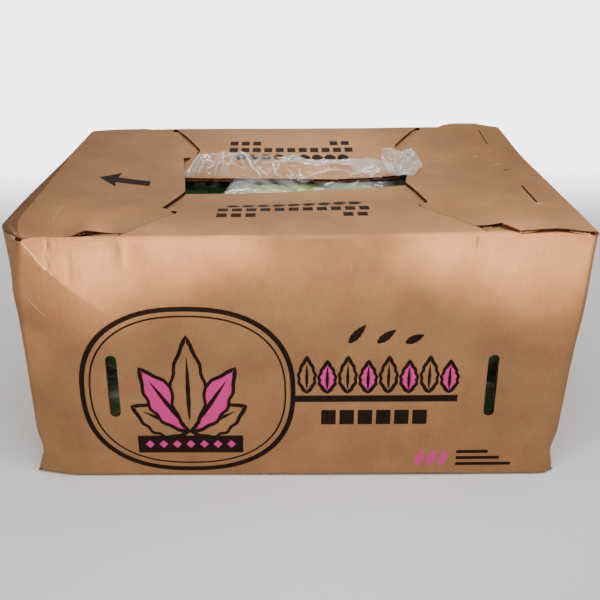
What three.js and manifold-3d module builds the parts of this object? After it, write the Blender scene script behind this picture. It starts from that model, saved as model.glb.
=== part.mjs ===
// A closed produce carton, packed: corrugated walls, four bottom flaps, four hinged top flaps that
// lap over each other round a slot, a film liner whose mouth comes out of the slot, and 24 heads
// of romaine lettuce in three layers.
// Millimetres. The origin is the middle of the base, X runs along the case, -Y is its front, Z is up.

import * as THREE from 'three';
import { mergeVertices } from 'three/addons/utils/BufferGeometryUtils.js';
import Module from 'manifold-3d';

const wasm = await Module();
wasm.setup();

// ---- Driving dimensions ----

const LENGTH = 590; // outside of the case along X
const DEPTH = 413; // outside of the case along Y
const WALL_TOP = 280.8; // top edge of all four walls
const BOARD = 4; // thickness of the corrugated board
const GAP = 0.3; // clearance between pieces that touch
const FOLD_BEVEL = 3.5; // how far a fold's outer corner is rounded off, as a bevel

const VENT = { x: 204, z: 115, width: 12, height: 74 }; // slots near each end, front and back
const HAND_HOLE = { z: 195, width: 95, height: 26 }; // grip in each end wall

const BOTTOM_REACH = 206; // how far each bottom flap reaches in from its fold

const SLOT_HALF_LENGTH = 138; // the slot left open between the four top flaps
const SLOT_HALF_WIDTH = 30;
const LONG_FLAP_SLOPE = 5; // degrees down from the fold to the slot
const END_FLAP_SLOPE = 3.5; // degrees down from the crease to the slot
const END_FLAP_CREASE = 225; // X where an end flap leaves the wall tops and dips
const LOCK_GAP = 1; // half the clearance between flaps that lie side by side

const FILM = 0.8; // the liner's film, far thicker than life so that it is a solid
const LINER = { halfLength: 286, halfDepth: 197, top: 265.2 };
const LINER_OPENING = { halfLength: 130, front: -1, back: 12 };

const HEAD_COLUMNS = 4; // heads across the case
const HEAD_LAYERS = 3;
const HEAD_CLEARANCE = 0.7; // left free round each head

// ---- Derived places ----

const HALF_LENGTH = LENGTH / 2;
const HALF_DEPTH = DEPTH / 2;
const INNER_HALF_LENGTH = HALF_LENGTH - BOARD;
const INNER_HALF_DEPTH = HALF_DEPTH - BOARD;
const OUTER_FLAPS_TOP = BOARD; // the outer bottom flaps lie on the ground
const INNER_FLAPS_BASE = OUTER_FLAPS_TOP + GAP;
const INNER_FLAPS_TOP = INNER_FLAPS_BASE + BOARD;
const FLOOR = INNER_FLAPS_TOP + GAP; // lowest level inside the case
const END_FLAP_BASE = WALL_TOP + GAP;
const LONG_FLAP_BASE = WALL_TOP + 2 * GAP + 0.1;

const degrees = (angle) => (angle * Math.PI) / 180;
const longDrop = (y) => (HALF_DEPTH - Math.abs(y)) * Math.tan(degrees(LONG_FLAP_SLOPE));
const endDrop = (x) => Math.max(0, END_FLAP_CREASE - Math.abs(x)) * Math.tan(degrees(END_FLAP_SLOPE));

// ---- Materials ----

const board = new THREE.MeshStandardMaterial({ color: '#b98f68', roughness: 0.9, metalness: 0 });
const film = new THREE.MeshStandardMaterial({ color: '#dfe6e4', roughness: 0.2, metalness: 0 });
const leaf = new THREE.MeshStandardMaterial({ color: '#6d9440', roughness: 0.5, metalness: 0 });

// ---- Solids ----

function solid(geometry) {
  const bare = geometry.index ? geometry.toNonIndexed() : geometry.clone();
  bare.deleteAttribute('normal');
  bare.deleteAttribute('uv');
  const merged = mergeVertices(bare, 1e-4);
  return new wasm.Manifold(new wasm.Mesh({
    numProp: 3,
    vertProperties: new Float32Array(merged.attributes.position.array),
    triVerts: new Uint32Array(merged.index.array),
  }));
}

function geometryOf(manifold) {
  const mesh = manifold.getMesh();
  const geometry = new THREE.BufferGeometry();
  geometry.setAttribute('position', new THREE.BufferAttribute(mesh.vertProperties, 3));
  geometry.setIndex(new THREE.BufferAttribute(mesh.triVerts, 1));
  geometry.computeVertexNormals();
  return geometry;
}

// Only the largest connected surface, which fills sealed hollows and drops loose scraps.
function outerBody(geometry) {
  const index = Array.from(geometry.index.array);
  const root = Array.from({ length: geometry.attributes.position.count }, (_, i) => i);
  const find = (i) => {
    while (root[i] !== i) i = root[i] = root[root[i]];
    return i;
  };
  for (let t = 0; t < index.length; t += 3) {
    root[find(index[t])] = find(index[t + 1]);
    root[find(index[t + 1])] = find(index[t + 2]);
  }
  const sizes = new Map();
  for (let t = 0; t < index.length; t += 3) sizes.set(find(index[t]), (sizes.get(find(index[t])) ?? 0) + 1);
  const largest = [...sizes].sort((p, q) => q[1] - p[1])[0][0];
  const kept = [];
  for (let t = 0; t < index.length; t += 3) {
    if (find(index[t]) === largest) kept.push(index[t], index[t + 1], index[t + 2]);
  }
  geometry.setIndex(kept);
  return geometry;
}

// An outline drawn in the plane across an axis, and swept along that axis from low to high.
// Its points are (x, y) for the Z axis, (y, z) for X and (x, z) for Y.
function prism(axis, outline, low, high) {
  const points = outline.map(([a, b]) => new THREE.Vector2(a, b));
  const geometry = new THREE.ExtrudeGeometry(new THREE.Shape(points), {
    depth: high - low,
    bevelEnabled: false,
  });
  const X = new THREE.Vector3(1, 0, 0);
  const Y = new THREE.Vector3(0, 1, 0);
  const Z = new THREE.Vector3(0, 0, 1);
  const turn = new THREE.Matrix4();
  if (axis === 'z') geometry.translate(0, 0, low);
  if (axis === 'x') geometry.applyMatrix4(turn.makeBasis(Y, Z, X)).translate(low, 0, 0);
  if (axis === 'y') geometry.applyMatrix4(turn.makeBasis(X, Z, Y.clone().negate())).translate(0, high, 0);
  return solid(geometry);
}

function rectangle(a0, b0, a1, b1) {
  return [[a0, b0], [a1, b0], [a1, b1], [a0, b1]];
}

// A slot with round ends, standing upright when height is the longer side.
function roundSlot(centreA, centreB, width, height, steps = 6) {
  const radius = Math.min(width, height) / 2;
  const upright = height > width;
  const reach = Math.max(width, height) / 2 - radius;
  const outline = [];
  for (let end = 0; end < 2; end++) {
    for (let i = 0; i <= steps; i++) {
      const angle = end * Math.PI + (i / steps) * Math.PI - (upright ? 0 : Math.PI / 2);
      const sign = end === 0 ? 1 : -1;
      outline.push([
        centreA + radius * Math.cos(angle) + (upright ? 0 : sign * reach),
        centreB + radius * Math.sin(angle) + (upright ? sign * reach : 0),
      ]);
    }
  }
  return outline;
}

// ---- The case ----

// The front wall, with its two vents. It stands on the outer bottom flap.
function longWall() {
  const panel = rectangle(-HALF_LENGTH, OUTER_FLAPS_TOP + GAP, HALF_LENGTH, WALL_TOP);
  let wall = prism('y', panel, -HALF_DEPTH, -INNER_HALF_DEPTH);
  for (const side of [-1, 1]) {
    const vent = roundSlot(side * VENT.x, VENT.z, VENT.width, VENT.height);
    wall = wall.subtract(prism('y', vent, -HALF_DEPTH - 1, 0));
  }
  return wall;
}

// The right end wall, with its hand hole, between the long walls. It stands on the inner flap.
function endWall() {
  const depth = INNER_HALF_DEPTH - GAP;
  const wall = prism('x', rectangle(-depth, FLOOR, depth, WALL_TOP), INNER_HALF_LENGTH, HALF_LENGTH);
  const grip = roundSlot(0, HAND_HOLE.z, HAND_HOLE.width, HAND_HOLE.height);
  return wall.subtract(prism('x', grip, 0, HALF_LENGTH + 1));
}

// The front outer bottom flap, which meets the back one along the middle of the base.
function outerBottomFlap() {
  const section = [
    [-HALF_DEPTH, OUTER_FLAPS_TOP],
    [-HALF_DEPTH + FOLD_BEVEL, 0],
    [-HALF_DEPTH + BOTTOM_REACH, 0],
    [-HALF_DEPTH + BOTTOM_REACH, OUTER_FLAPS_TOP],
  ];
  return prism('x', section, -HALF_LENGTH, HALF_LENGTH);
}

// The right inner bottom flap, which lies on the outer ones.
function innerBottomFlap() {
  const depth = INNER_HALF_DEPTH - GAP;
  const plan = rectangle(HALF_LENGTH - BOTTOM_REACH, -depth, HALF_LENGTH, depth);
  return prism('z', plan, INNER_FLAPS_BASE, INNER_FLAPS_TOP);
}

// Half of an end flap's plan, from its fold to its tip, for Y > 0: along the wall top, in round
// the long flap's fold, along the long flap's corner to a tooth, and up the slope to the tip.
const END_FLAP_SIDE = [
  [HALF_LENGTH, HALF_DEPTH],
  [229, HALF_DEPTH],
  [217, 180],
  [186 + LOCK_GAP, 184],
  [140 + LOCK_GAP, 117],
  [157, 104],
  [SLOT_HALF_LENGTH, 32],
];

// Half of a long flap's plan, for X > 0 on the front: from its fold along its corner that lies
// beside the end flap, round the tooth, and out to the tab that lies under the end flap.
const LONG_FLAP_SIDE = [
  [190, -HALF_DEPTH],
  [185 - LOCK_GAP, -186],
  [140 - 2 * LOCK_GAP, -118],
  [140 - 2 * LOCK_GAP, -114],
  [155.5, -102.5],
  [170, -96],
  [166, -SLOT_HALF_WIDTH],
];

// The right end flap. Its section lies on the wall tops, then dips to the slot.
function endFlap() {
  const tipBase = END_FLAP_BASE - endDrop(SLOT_HALF_LENGTH);
  const section = [
    [SLOT_HALF_LENGTH, tipBase],
    [END_FLAP_CREASE, END_FLAP_BASE],
    [HALF_LENGTH, END_FLAP_BASE],
    [HALF_LENGTH - FOLD_BEVEL, END_FLAP_BASE + BOARD],
    [END_FLAP_CREASE, END_FLAP_BASE + BOARD],
    [SLOT_HALF_LENGTH, tipBase + BOARD],
  ];
  const mirrored = END_FLAP_SIDE.map(([x, y]) => [x, -y]);
  const plan = [...END_FLAP_SIDE, ...mirrored.reverse()];
  const sheet = prism('y', section, -HALF_DEPTH, HALF_DEPTH);
  return sheet.intersect(prism('z', plan, 0, LENGTH));
}

// The front long flap, sloping down from its fold to the slot.
function longFlap() {
  const edgeBase = LONG_FLAP_BASE - longDrop(SLOT_HALF_WIDTH);
  const section = [
    [-HALF_DEPTH, LONG_FLAP_BASE],
    [-SLOT_HALF_WIDTH, edgeBase],
    [-SLOT_HALF_WIDTH, edgeBase + BOARD],
    [-HALF_DEPTH + FOLD_BEVEL, LONG_FLAP_BASE + BOARD - longDrop(HALF_DEPTH - FOLD_BEVEL)],
  ];
  const mirrored = LONG_FLAP_SIDE.map(([x, y]) => [-x, y]);
  const plan = [...LONG_FLAP_SIDE, ...mirrored.reverse()];
  const sheet = prism('x', section, -HALF_LENGTH, HALF_LENGTH);
  return sheet.intersect(prism('z', plan, 0, LENGTH));
}

// Two slits in line, parallel to the fold, that only the right end flap has.
const FLAP_SLIT = { x: 234, from: 54, to: 116, width: 1.6 };

function slitEndFlap() {
  let flap = endFlap();
  for (const side of [-1, 1]) {
    const near = Math.min(side * FLAP_SLIT.from, side * FLAP_SLIT.to);
    const far = Math.max(side * FLAP_SLIT.from, side * FLAP_SLIT.to);
    const cut = rectangle(FLAP_SLIT.x, near, FLAP_SLIT.x + FLAP_SLIT.width, far);
    flap = flap.subtract(prism('z', cut, 0, LENGTH));
  }
  return flap;
}

// ---- The liner ----

// A thin box round the heads, open where its mouth is pulled out through the slot.
function linerBag() {
  const { halfLength, halfDepth, top } = LINER;
  const outside = rectangle(-halfLength, -halfDepth, halfLength, halfDepth);
  const inside = rectangle(-halfLength + FILM, -halfDepth + FILM, halfLength - FILM, halfDepth - FILM);
  const opening = rectangle(-LINER_OPENING.halfLength, LINER_OPENING.front,
    LINER_OPENING.halfLength, LINER_OPENING.back);
  return prism('z', outside, FLOOR + GAP, top)
    .subtract(prism('z', inside, FLOOR + GAP + FILM, top - FILM))
    .subtract(prism('z', opening, top - 2 * FILM, top + FILM));
}

// The liner's mouth: up through the slot, over the back flap's edge and down along that flap,
// with a gathered tuft near its right end.
function linerMouth() {
  const flapTop = (y) => LONG_FLAP_BASE + BOARD - longDrop(y);
  const clear = 0.6;
  const section = [
    [LINER_OPENING.front, LINER.top + GAP],
    [LINER_OPENING.back, LINER.top + GAP],
    [SLOT_HALF_WIDTH - 1.5, flapTop(SLOT_HALF_WIDTH) - BOARD],
    [SLOT_HALF_WIDTH - 1.5, flapTop(SLOT_HALF_WIDTH) + clear],
    [110, flapTop(110) + clear],
    [110, flapTop(110) + 3],
    [60, 283.5],
    [26, 286],
    [8, 281],
    [LINER_OPENING.front, LINER.top + 5],
  ];
  const plan = [[-134, -30], [133, -30], [133, 76], [100, 70], [-80, 112], [-116, 100], [-134, 64]];
  let mouth = prism('x', section, -134, 133).intersect(prism('z', plan, 0, LENGTH));
  const random = seeded(7);
  const lump = mergeVertices(bareIcosahedron(1), 1e-4);
  const place = lump.attributes.position;
  for (let i = 0; i < place.count; i++) {
    const swell = 0.85 + 0.15 * random();
    place.setXYZ(i, 126 + 37 * swell * place.getX(i), 46 + 27 * swell * place.getY(i),
      290 + 8 * swell * place.getZ(i));
  }
  mouth = mouth.add(solid(lump));
  return mouth;
}

function bareIcosahedron(detail) {
  const geometry = new THREE.IcosahedronGeometry(1, detail);
  geometry.deleteAttribute('normal');
  geometry.deleteAttribute('uv');
  return geometry;
}

// ---- The heads ----

// A small generator of repeatable random numbers from 0 to 1.
function seeded(seed) {
  let state = seed >>> 0;
  return () => {
    state = (Math.imul(state, 1664525) + 1013904223) >>> 0;
    return state / 4294967296;
  };
}

// A closed skin from a grid of outer points and one of inner points, split alike on both faces.
function blade(outer, inner) {
  const rows = outer.length;
  const columns = outer[0].length;
  const points = [...outer.flat(), ...inner.flat()];
  const at = (side, i, j) => side * rows * columns + i * columns + j;
  const faces = [];
  const quad = (a, b, c, d) => faces.push(a, b, c, a, c, d);
  for (let i = 0; i < rows - 1; i++) {
    for (let j = 0; j < columns - 1; j++) {
      quad(at(0, i, j), at(0, i + 1, j), at(0, i + 1, j + 1), at(0, i, j + 1));
      faces.push(at(1, i, j), at(1, i + 1, j + 1), at(1, i + 1, j));
      faces.push(at(1, i, j), at(1, i, j + 1), at(1, i + 1, j + 1));
    }
  }
  const rim = [];
  for (let j = 0; j < columns - 1; j++) rim.push([0, j]);
  for (let i = 0; i < rows - 1; i++) rim.push([i, columns - 1]);
  for (let j = columns - 1; j > 0; j--) rim.push([rows - 1, j]);
  for (let i = rows - 1; i > 0; i--) rim.push([i, 0]);
  rim.forEach(([i, j], k) => {
    const [p, q] = rim[(k + 1) % rim.length];
    quad(at(0, i, j), at(0, p, q), at(1, p, q), at(1, i, j));
  });
  const geometry = new THREE.BufferGeometry();
  geometry.setAttribute('position', new THREE.Float32BufferAttribute(points.flat(), 3));
  geometry.setIndex(faces);
  return solid(geometry);
}

// The heart of a head: a slim spindle from the cut stem at +X to the closed tip at -X.
function heart(length, sides) {
  const profile = [[0, 0], [0.34, 0], [0.42, 0.1], [0.74, 0.38], [0.66, 0.7], [0.3, 0.93], [0, 0.97]];
  const spindle = new THREE.LatheGeometry(
    profile.map(([radius, along]) => new THREE.Vector2(radius * 40, along * length)), sides);
  spindle.rotateZ(Math.PI / 2);
  spindle.translate(length / 2, 0, 0);
  return solid(spindle);
}

// One romaine head, lying along X with its cut stem at +X: long leaves stand out of the heart, each
// with one edge tucked under its neighbour and the other, waved, lapped over the next.
function lettuceHead({ length, width, height, leaves, along, across, sides, seed }) {
  const random = seeded(seed);
  let head = heart(length, sides);
  for (let k = 0; k < leaves; k++) {
    const facing = ((k + 0.2 * random()) / leaves) * 2 * Math.PI;
    const spread = Math.PI / leaves + degrees(7);
    const reach = length * (0.94 + 0.06 * random());
    const phase = random() * 2 * Math.PI;
    const layers = [0, 1].map((inner) => {
      const grid = [];
      for (let i = 0; i <= along; i++) {
        const u = i / along;
        const swell = 11 + 33 * Math.sin(Math.PI * 0.78 * u) ** 0.8;
        const half = spread * (0.5 + 0.5 * Math.sin(Math.PI * (0.1 + 0.72 * u)));
        const row = [];
        for (let j = 0; j <= across; j++) {
          const v = (2 * j) / across - 1;
          const wave = 4 * Math.max(0, v) * Math.sin(phase + 9 * u);
          const radius = swell + (5 * v + wave) * Math.min(1, 3 * u) - inner * 2;
          const angle = facing + v * half;
          const back = 4 + u * (reach - 6) - 26 * u ** 3 * v * v; // the leaf's tip is round
          row.push([length / 2 - back, radius * Math.cos(angle), radius * Math.sin(angle)]);
        }
        grid.push(row);
      }
      return grid;
    });
    head = head.add(blade(layers[0], layers[1]));
  }
  const geometry = outerBody(geometryOf(head)).center();
  const size = geometry.boundingBox.getSize(new THREE.Vector3());
  return geometry.scale(length / size.x, width / size.y, height / size.z);
}

// ---- The scene graph ----

const group = new THREE.Group();

function add(name, geometry, material, parent = group) {
  const mesh = new THREE.Mesh(geometry, material);
  mesh.name = name;
  parent.add(mesh);
  return mesh;
}

const frontWall = geometryOf(longWall());
add('wall_front', frontWall, board);
add('wall_back', frontWall, board).rotation.z = Math.PI;
const rightWall = geometryOf(endWall());
add('wall_right', rightWall, board);
add('wall_left', rightWall, board).rotation.z = Math.PI;

const outerFlap = geometryOf(outerBottomFlap());
add('bottom_flap_front', outerFlap, board);
add('bottom_flap_back', outerFlap, board).rotation.z = Math.PI;
const innerFlap = geometryOf(innerBottomFlap());
add('bottom_flap_right', innerFlap, board);
add('bottom_flap_left', innerFlap, board).rotation.z = Math.PI;

const frontFlap = geometryOf(longFlap());
add('top_flap_front', frontFlap, board);
add('top_flap_back', frontFlap, board).rotation.z = Math.PI;
add('top_flap_right', geometryOf(slitEndFlap()), board);
add('top_flap_left', geometryOf(endFlap()), board).rotation.z = Math.PI;

add('liner_bag', geometryOf(linerBag()), film);
add('liner_mouth', geometryOf(linerMouth()), film);

// The heads fill the liner in equal cells. Those in the top layer show, so they have finer leaves.
const cell = {
  length: LINER.halfLength - FILM - 2,
  width: (2 * (LINER.halfDepth - FILM)) / HEAD_COLUMNS,
  height: (LINER.top - 2 * FILM - FLOOR - 2 * GAP) / HEAD_LAYERS,
};
const headSize = {
  length: cell.length - HEAD_CLEARANCE,
  width: cell.width - HEAD_CLEARANCE,
  height: cell.height - HEAD_CLEARANCE,
};
const fine = { leaves: 5, along: 4, across: 2, sides: 6 };
const coarse = { leaves: 3, along: 3, across: 2, sides: 5 };
const fineHeads = [11, 12, 13].map((seed) => lettuceHead({ ...headSize, ...fine, seed }));
const coarseHeads = [21, 22].map((seed) => lettuceHead({ ...headSize, ...coarse, seed }));

let count = 0;
for (let layer = 0; layer < HEAD_LAYERS; layer++) {
  const shapes = layer === HEAD_LAYERS - 1 ? fineHeads : coarseHeads;
  for (const end of [-1, 1]) {
    for (let column = 0; column < HEAD_COLUMNS; column++) {
      const name = `lettuce_head_${String(++count).padStart(2, '0')}`;
      const head = add(name, shapes[count % shapes.length], leaf);
      head.rotation.z = end > 0 ? 0 : Math.PI;
      head.rotation.x = (column + layer) % 2 ? Math.PI : 0;
      head.position.set(
        end * (cell.length / 2 + 1.5),
        (column - (HEAD_COLUMNS - 1) / 2) * cell.width,
        FLOOR + GAP + FILM + (layer + 0.5) * cell.height,
      );
    }
  }
}

export default group;
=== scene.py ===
# %% [markdown]
# # A carton of romaine lettuce
# A closed corrugated produce carton. Four flaps lap over each other round a slot, a clear film
# liner comes out of the slot, and 24 heads of romaine lie inside. The imported frame gives every
# size and place, so the script starts by loading it.

# %% Load the frame
import math
from functools import partial

import bpy
import numpy as np
from mathutils import Matrix, Vector
from mathutils.geometry import delaunay_2d_cdt


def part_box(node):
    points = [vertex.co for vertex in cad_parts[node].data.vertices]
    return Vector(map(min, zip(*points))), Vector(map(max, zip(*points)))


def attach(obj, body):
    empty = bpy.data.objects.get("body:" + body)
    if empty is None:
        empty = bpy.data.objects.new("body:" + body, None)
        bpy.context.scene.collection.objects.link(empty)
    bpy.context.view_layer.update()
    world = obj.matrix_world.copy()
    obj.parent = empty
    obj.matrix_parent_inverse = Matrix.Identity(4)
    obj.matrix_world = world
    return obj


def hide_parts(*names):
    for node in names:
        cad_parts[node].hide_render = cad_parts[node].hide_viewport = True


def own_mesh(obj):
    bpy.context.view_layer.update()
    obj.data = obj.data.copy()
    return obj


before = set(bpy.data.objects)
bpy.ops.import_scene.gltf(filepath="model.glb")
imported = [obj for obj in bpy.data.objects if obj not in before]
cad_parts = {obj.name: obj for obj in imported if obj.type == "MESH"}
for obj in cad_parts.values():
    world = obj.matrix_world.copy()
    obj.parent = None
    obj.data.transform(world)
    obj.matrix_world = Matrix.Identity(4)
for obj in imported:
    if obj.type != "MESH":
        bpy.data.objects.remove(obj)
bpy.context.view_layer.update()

# %% [markdown]
# Packaging is drawn in millimetres, so the whole lesson thinks in millimetres and one function
# turns points into metres when a mesh is made. The driving sizes are read from the frame.

# %% Sizes from the frame
MM = 0.001


def box_mm(node):
    low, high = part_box(node)
    return np.array(low) / MM, np.array(high) / MM


wall_low, wall_high = box_mm("wall_front")
HALF_LENGTH = wall_high[0]
HALF_DEPTH = -wall_low[1]
WALL_BASE, WALL_TOP = wall_low[2], wall_high[2]
BOARD = 4.0
FLAP_TOP = box_mm("top_flap_right")[1][2]
print(f"case {2 * HALF_LENGTH:.0f} x {2 * HALF_DEPTH:.0f} mm, walls up to {WALL_TOP:.1f} mm")

# %% [markdown]
# Three small helpers serve every piece: a smooth step between two values, a colour given as a
# hex value and turned to linear light, and a mesh made from millimetre points. A mesh may carry
# attributes, such as where a point lies on the flat sheet, which the materials read later.

# %% Helpers for numbers, colours and meshes
def smooth(low, high, value):
    t = np.clip((np.asarray(value, float) - low) / (high - low), 0, 1)
    return t * t * (3 - 2 * t)


def linear(hex_colour):
    parts = [int(hex_colour[i:i + 2], 16) / 255 for i in (1, 3, 5)]
    return (*[c / 12.92 if c <= 0.04045 else ((c + 0.055) / 1.055) ** 2.4 for c in parts], 1.0)


def make_piece(name, points, faces, materials, face_materials=None, attributes=None, sharp=40):
    mesh = bpy.data.meshes.new(name)
    mesh.from_pydata((np.asarray(points) * MM).tolist(), [], faces)
    for material in materials:
        mesh.materials.append(material)
    if face_materials is not None:
        mesh.polygons.foreach_set("material_index", np.asarray(face_materials, np.int32))
    for key, values in (attributes or {}).items():
        values = np.asarray(values, np.float32)
        kind = "FLOAT" if values.ndim == 1 else "FLOAT_VECTOR"
        layer = mesh.attributes.new(key, kind, "POINT")
        layer.data.foreach_set("value" if values.ndim == 1 else "vector", values.ravel())
    mesh.validate()
    mesh.polygons.foreach_set("use_smooth", np.ones(len(mesh.polygons), bool))
    mesh.set_sharp_from_angle(angle=math.radians(sharp))
    mesh.update()
    piece = bpy.data.objects.new(name, mesh)
    bpy.context.scene.collection.objects.link(piece)
    return piece


print("mid grey #808080 in linear light:", round(linear("#808080")[0], 3))

# %% [markdown]
# The camera stands a little above the carton and looks down on its lid, square to its front.
# Its place and angles are real sizes, and its lens is worked out for a square picture.

# %% Camera
CAMERA_AT = np.array([-21.4, -986.6, 588.6])
CAMERA_YAW, CAMERA_PITCH, CAMERA_ROLL = (math.radians(a) for a in (1.32, 25.80, 0.30))
FOCAL_IN_PICTURE_WIDTHS = 831 / 600
SENSOR_WIDTH = 36.0

forward = Vector((math.sin(CAMERA_YAW) * math.cos(CAMERA_PITCH),
                  math.cos(CAMERA_YAW) * math.cos(CAMERA_PITCH),
                  -math.sin(CAMERA_PITCH)))
level = Vector((math.cos(CAMERA_YAW), -math.sin(CAMERA_YAW), 0))
upright = level.cross(forward)
right = math.cos(CAMERA_ROLL) * level + math.sin(CAMERA_ROLL) * upright
up = math.cos(CAMERA_ROLL) * upright - math.sin(CAMERA_ROLL) * level

camera = bpy.data.objects.new("camera", bpy.data.cameras.new("camera"))
camera.data.sensor_width = SENSOR_WIDTH
camera.data.lens = SENSOR_WIDTH * FOCAL_IN_PICTURE_WIDTHS
camera.matrix_world = (Matrix.Translation(Vector(CAMERA_AT * MM))
                       @ Matrix((right, up, -forward)).transposed().to_4x4())
bpy.context.scene.collection.objects.link(camera)
bpy.context.scene.camera = camera
print(f"lens {camera.data.lens:.1f} mm")

# %% [markdown]
# Studio light: a wide soft box hangs over the front edge, so the front panel is bright at its top
# and fades downwards. Two small ones with a honeycomb skim along the panel to its top corners, and
# a faint one fills the middle between them. One more lights the lid from the front, and a large one
# behind puts glints on the film. The last lies far back and lights only the distant floor, so that
# it stays pale.

# %% Lights
WARM_GEL = "#ffe0c4"


def soft_box(name, place, target, width, height, watts, beam=180, gel="#ffffff"):
    light = bpy.data.lights.new(name, "AREA")
    light.shape = "RECTANGLE"
    light.size, light.size_y = width * MM, height * MM
    light.energy = watts
    light.spread = math.radians(beam)
    light.color = linear(gel)[:3]
    lamp = bpy.data.objects.new(name, light)
    lamp.location = Vector(place) * MM
    aim = Vector(target) * MM - lamp.location
    lamp.rotation_euler = aim.to_track_quat("-Z", "Y").to_euler()
    lamp.visible_camera = False
    bpy.context.scene.collection.objects.link(lamp)


soft_box("key_light", (60, -420, 520), (0, -206, 235), 800, 140, 2.6)
soft_box("left_skimming_light", (0, -308, 286), (-297, -206, 266), 130, 60, 0.47, 46, WARM_GEL)
soft_box("right_skimming_light", (58, -318, 289), (345, -206, 259), 150, 70, 0.43, 46, WARM_GEL)
soft_box("middle_light", (20, -350, 300), (20, -206, 262), 170, 50, 0.036, 60, WARM_GEL)
soft_box("lid_light", (60, -420, 780), (20, 130, 276), 160, 60, 0.28, 34)
soft_box("back_light", (-120, 1000, 860), (0, 60, 280), 500, 260, 3.5)
soft_box("floor_light", (0, 2900, 700), (0, 2901, 0), 6000, 4200, 330, 60)
print("lights:", len(bpy.data.lights))

# %% [markdown]
# Materials are small graphs of nodes. One function adds a node with its settings and its links.
# Settings are the node's own properties, and "stops" fills a colour ramp. An input such as i6 is
# the socket with that number, and any other name is the socket's own. A node given as a value
# stands for its first output, and a colour may be given as a hex value.

# %% The function that adds a node
def set_stops(colours, stops):
    for element, (place, colour) in zip(colours.elements, (stops[0], stops[-1])):
        element.color, element.position = linear(colour), place
    for place, colour in stops[1:-1]:
        colours.elements.new(place).color = linear(colour)


def add_node(tree, kind, settings=None, **inputs):
    node = tree.nodes.new("ShaderNode" + kind)
    for key, value in (settings or {}).items():
        if key == "stops":
            set_stops(node.color_ramp, value)
        else:
            setattr(node, key, value)
    for key, value in inputs.items():
        numbered = key[0] == "i" and key[1:].isdigit()
        socket = node.inputs[int(key[1:]) if numbered else key.replace("_", " ")]
        if isinstance(value, bpy.types.Node):
            value = value.outputs[0]
        if isinstance(value, bpy.types.NodeSocket):
            tree.links.new(value, socket)
        else:
            socket.default_value = linear(value) if isinstance(value, str) else value
    return node


COLOUR_MIX = {"data_type": "RGBA"}
MULTIPLY, MULTIPLY_ADD = {"operation": "MULTIPLY"}, {"operation": "MULTIPLY_ADD"}


def new_material(name):
    """An empty material, and add_node for its own tree."""
    material = bpy.data.materials.new(name)
    material.use_nodes = True
    material.node_tree.nodes.clear()
    return material, partial(add_node, material.node_tree)


print("ready: add_node, new_material")

# %% [markdown]
# The surroundings are white overhead and a light grey below, which keeps the lower parts of the
# board soft. The floor is a sheet of board under matt emulsion paint, rolled on, which leaves a
# fine unevenness in its gloss. It reaches far behind the carton.

# %% Surroundings and floor
world = bpy.data.worlds.new("studio")
world.use_nodes = True
bpy.context.scene.world = world
sky = world.node_tree.nodes["Background"]
sky.inputs["Strength"].default_value = 0.73
add = partial(add_node, world.node_tree)
way = add("TexCoord")
up = add("SeparateXYZ", Vector=way).outputs["Z"]
climb = add("MapRange", From_Min=-0.1, From_Max=0.8, Value=up)
tone = add("Mix", COLOUR_MIX, Factor=climb, i6="#cfcfcf", i7="#ffffff")
world.node_tree.links.new(tone.outputs[2], sky.inputs["Color"])

FLOOR_REACH = 6000
floor_paint, add = new_material("matt_painted_floor")
grain = add("TexNoise", Scale=40.0, Detail=3.0)
shade = add("MapRange", Value=grain, To_Min=0.93, To_Max=0.97)
add("OutputMaterial", Surface=add("BsdfPrincipled", Base_Color="#f4f4f3", Roughness=shade,
                                  Specular_IOR_Level=0.2))
floor = make_piece("floor", [(FLOOR_REACH * x, FLOOR_REACH * y, 0)
                             for x, y in ((-1, -1), (1, -1), (1, 1), (-1, 1))],
                   [(0, 1, 2, 3)], [floor_paint])
print("floor", 2 * FLOOR_REACH * MM, "m wide")

# %% [markdown]
# Corrugated board is faced with kraft linerboard: unbleached brown paper, pressed from long
# fibres. It shows a cloudy tone at the centimetre scale, fine streaks along the fibres, tiny dark
# and pale specks, and a faint washboard where the flutes, 7.9 mm apart, show through. The graph
# reads the attribute "sheet_mm", a point's place on the flat sheet, so each scale is a real one.

# %% Kraft linerboard
FLUTE_PITCH = 7.9
WASHBOARD = 0.08
KRAFT = ("#8f6546", "#9b704a", "#a87a51")


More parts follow.
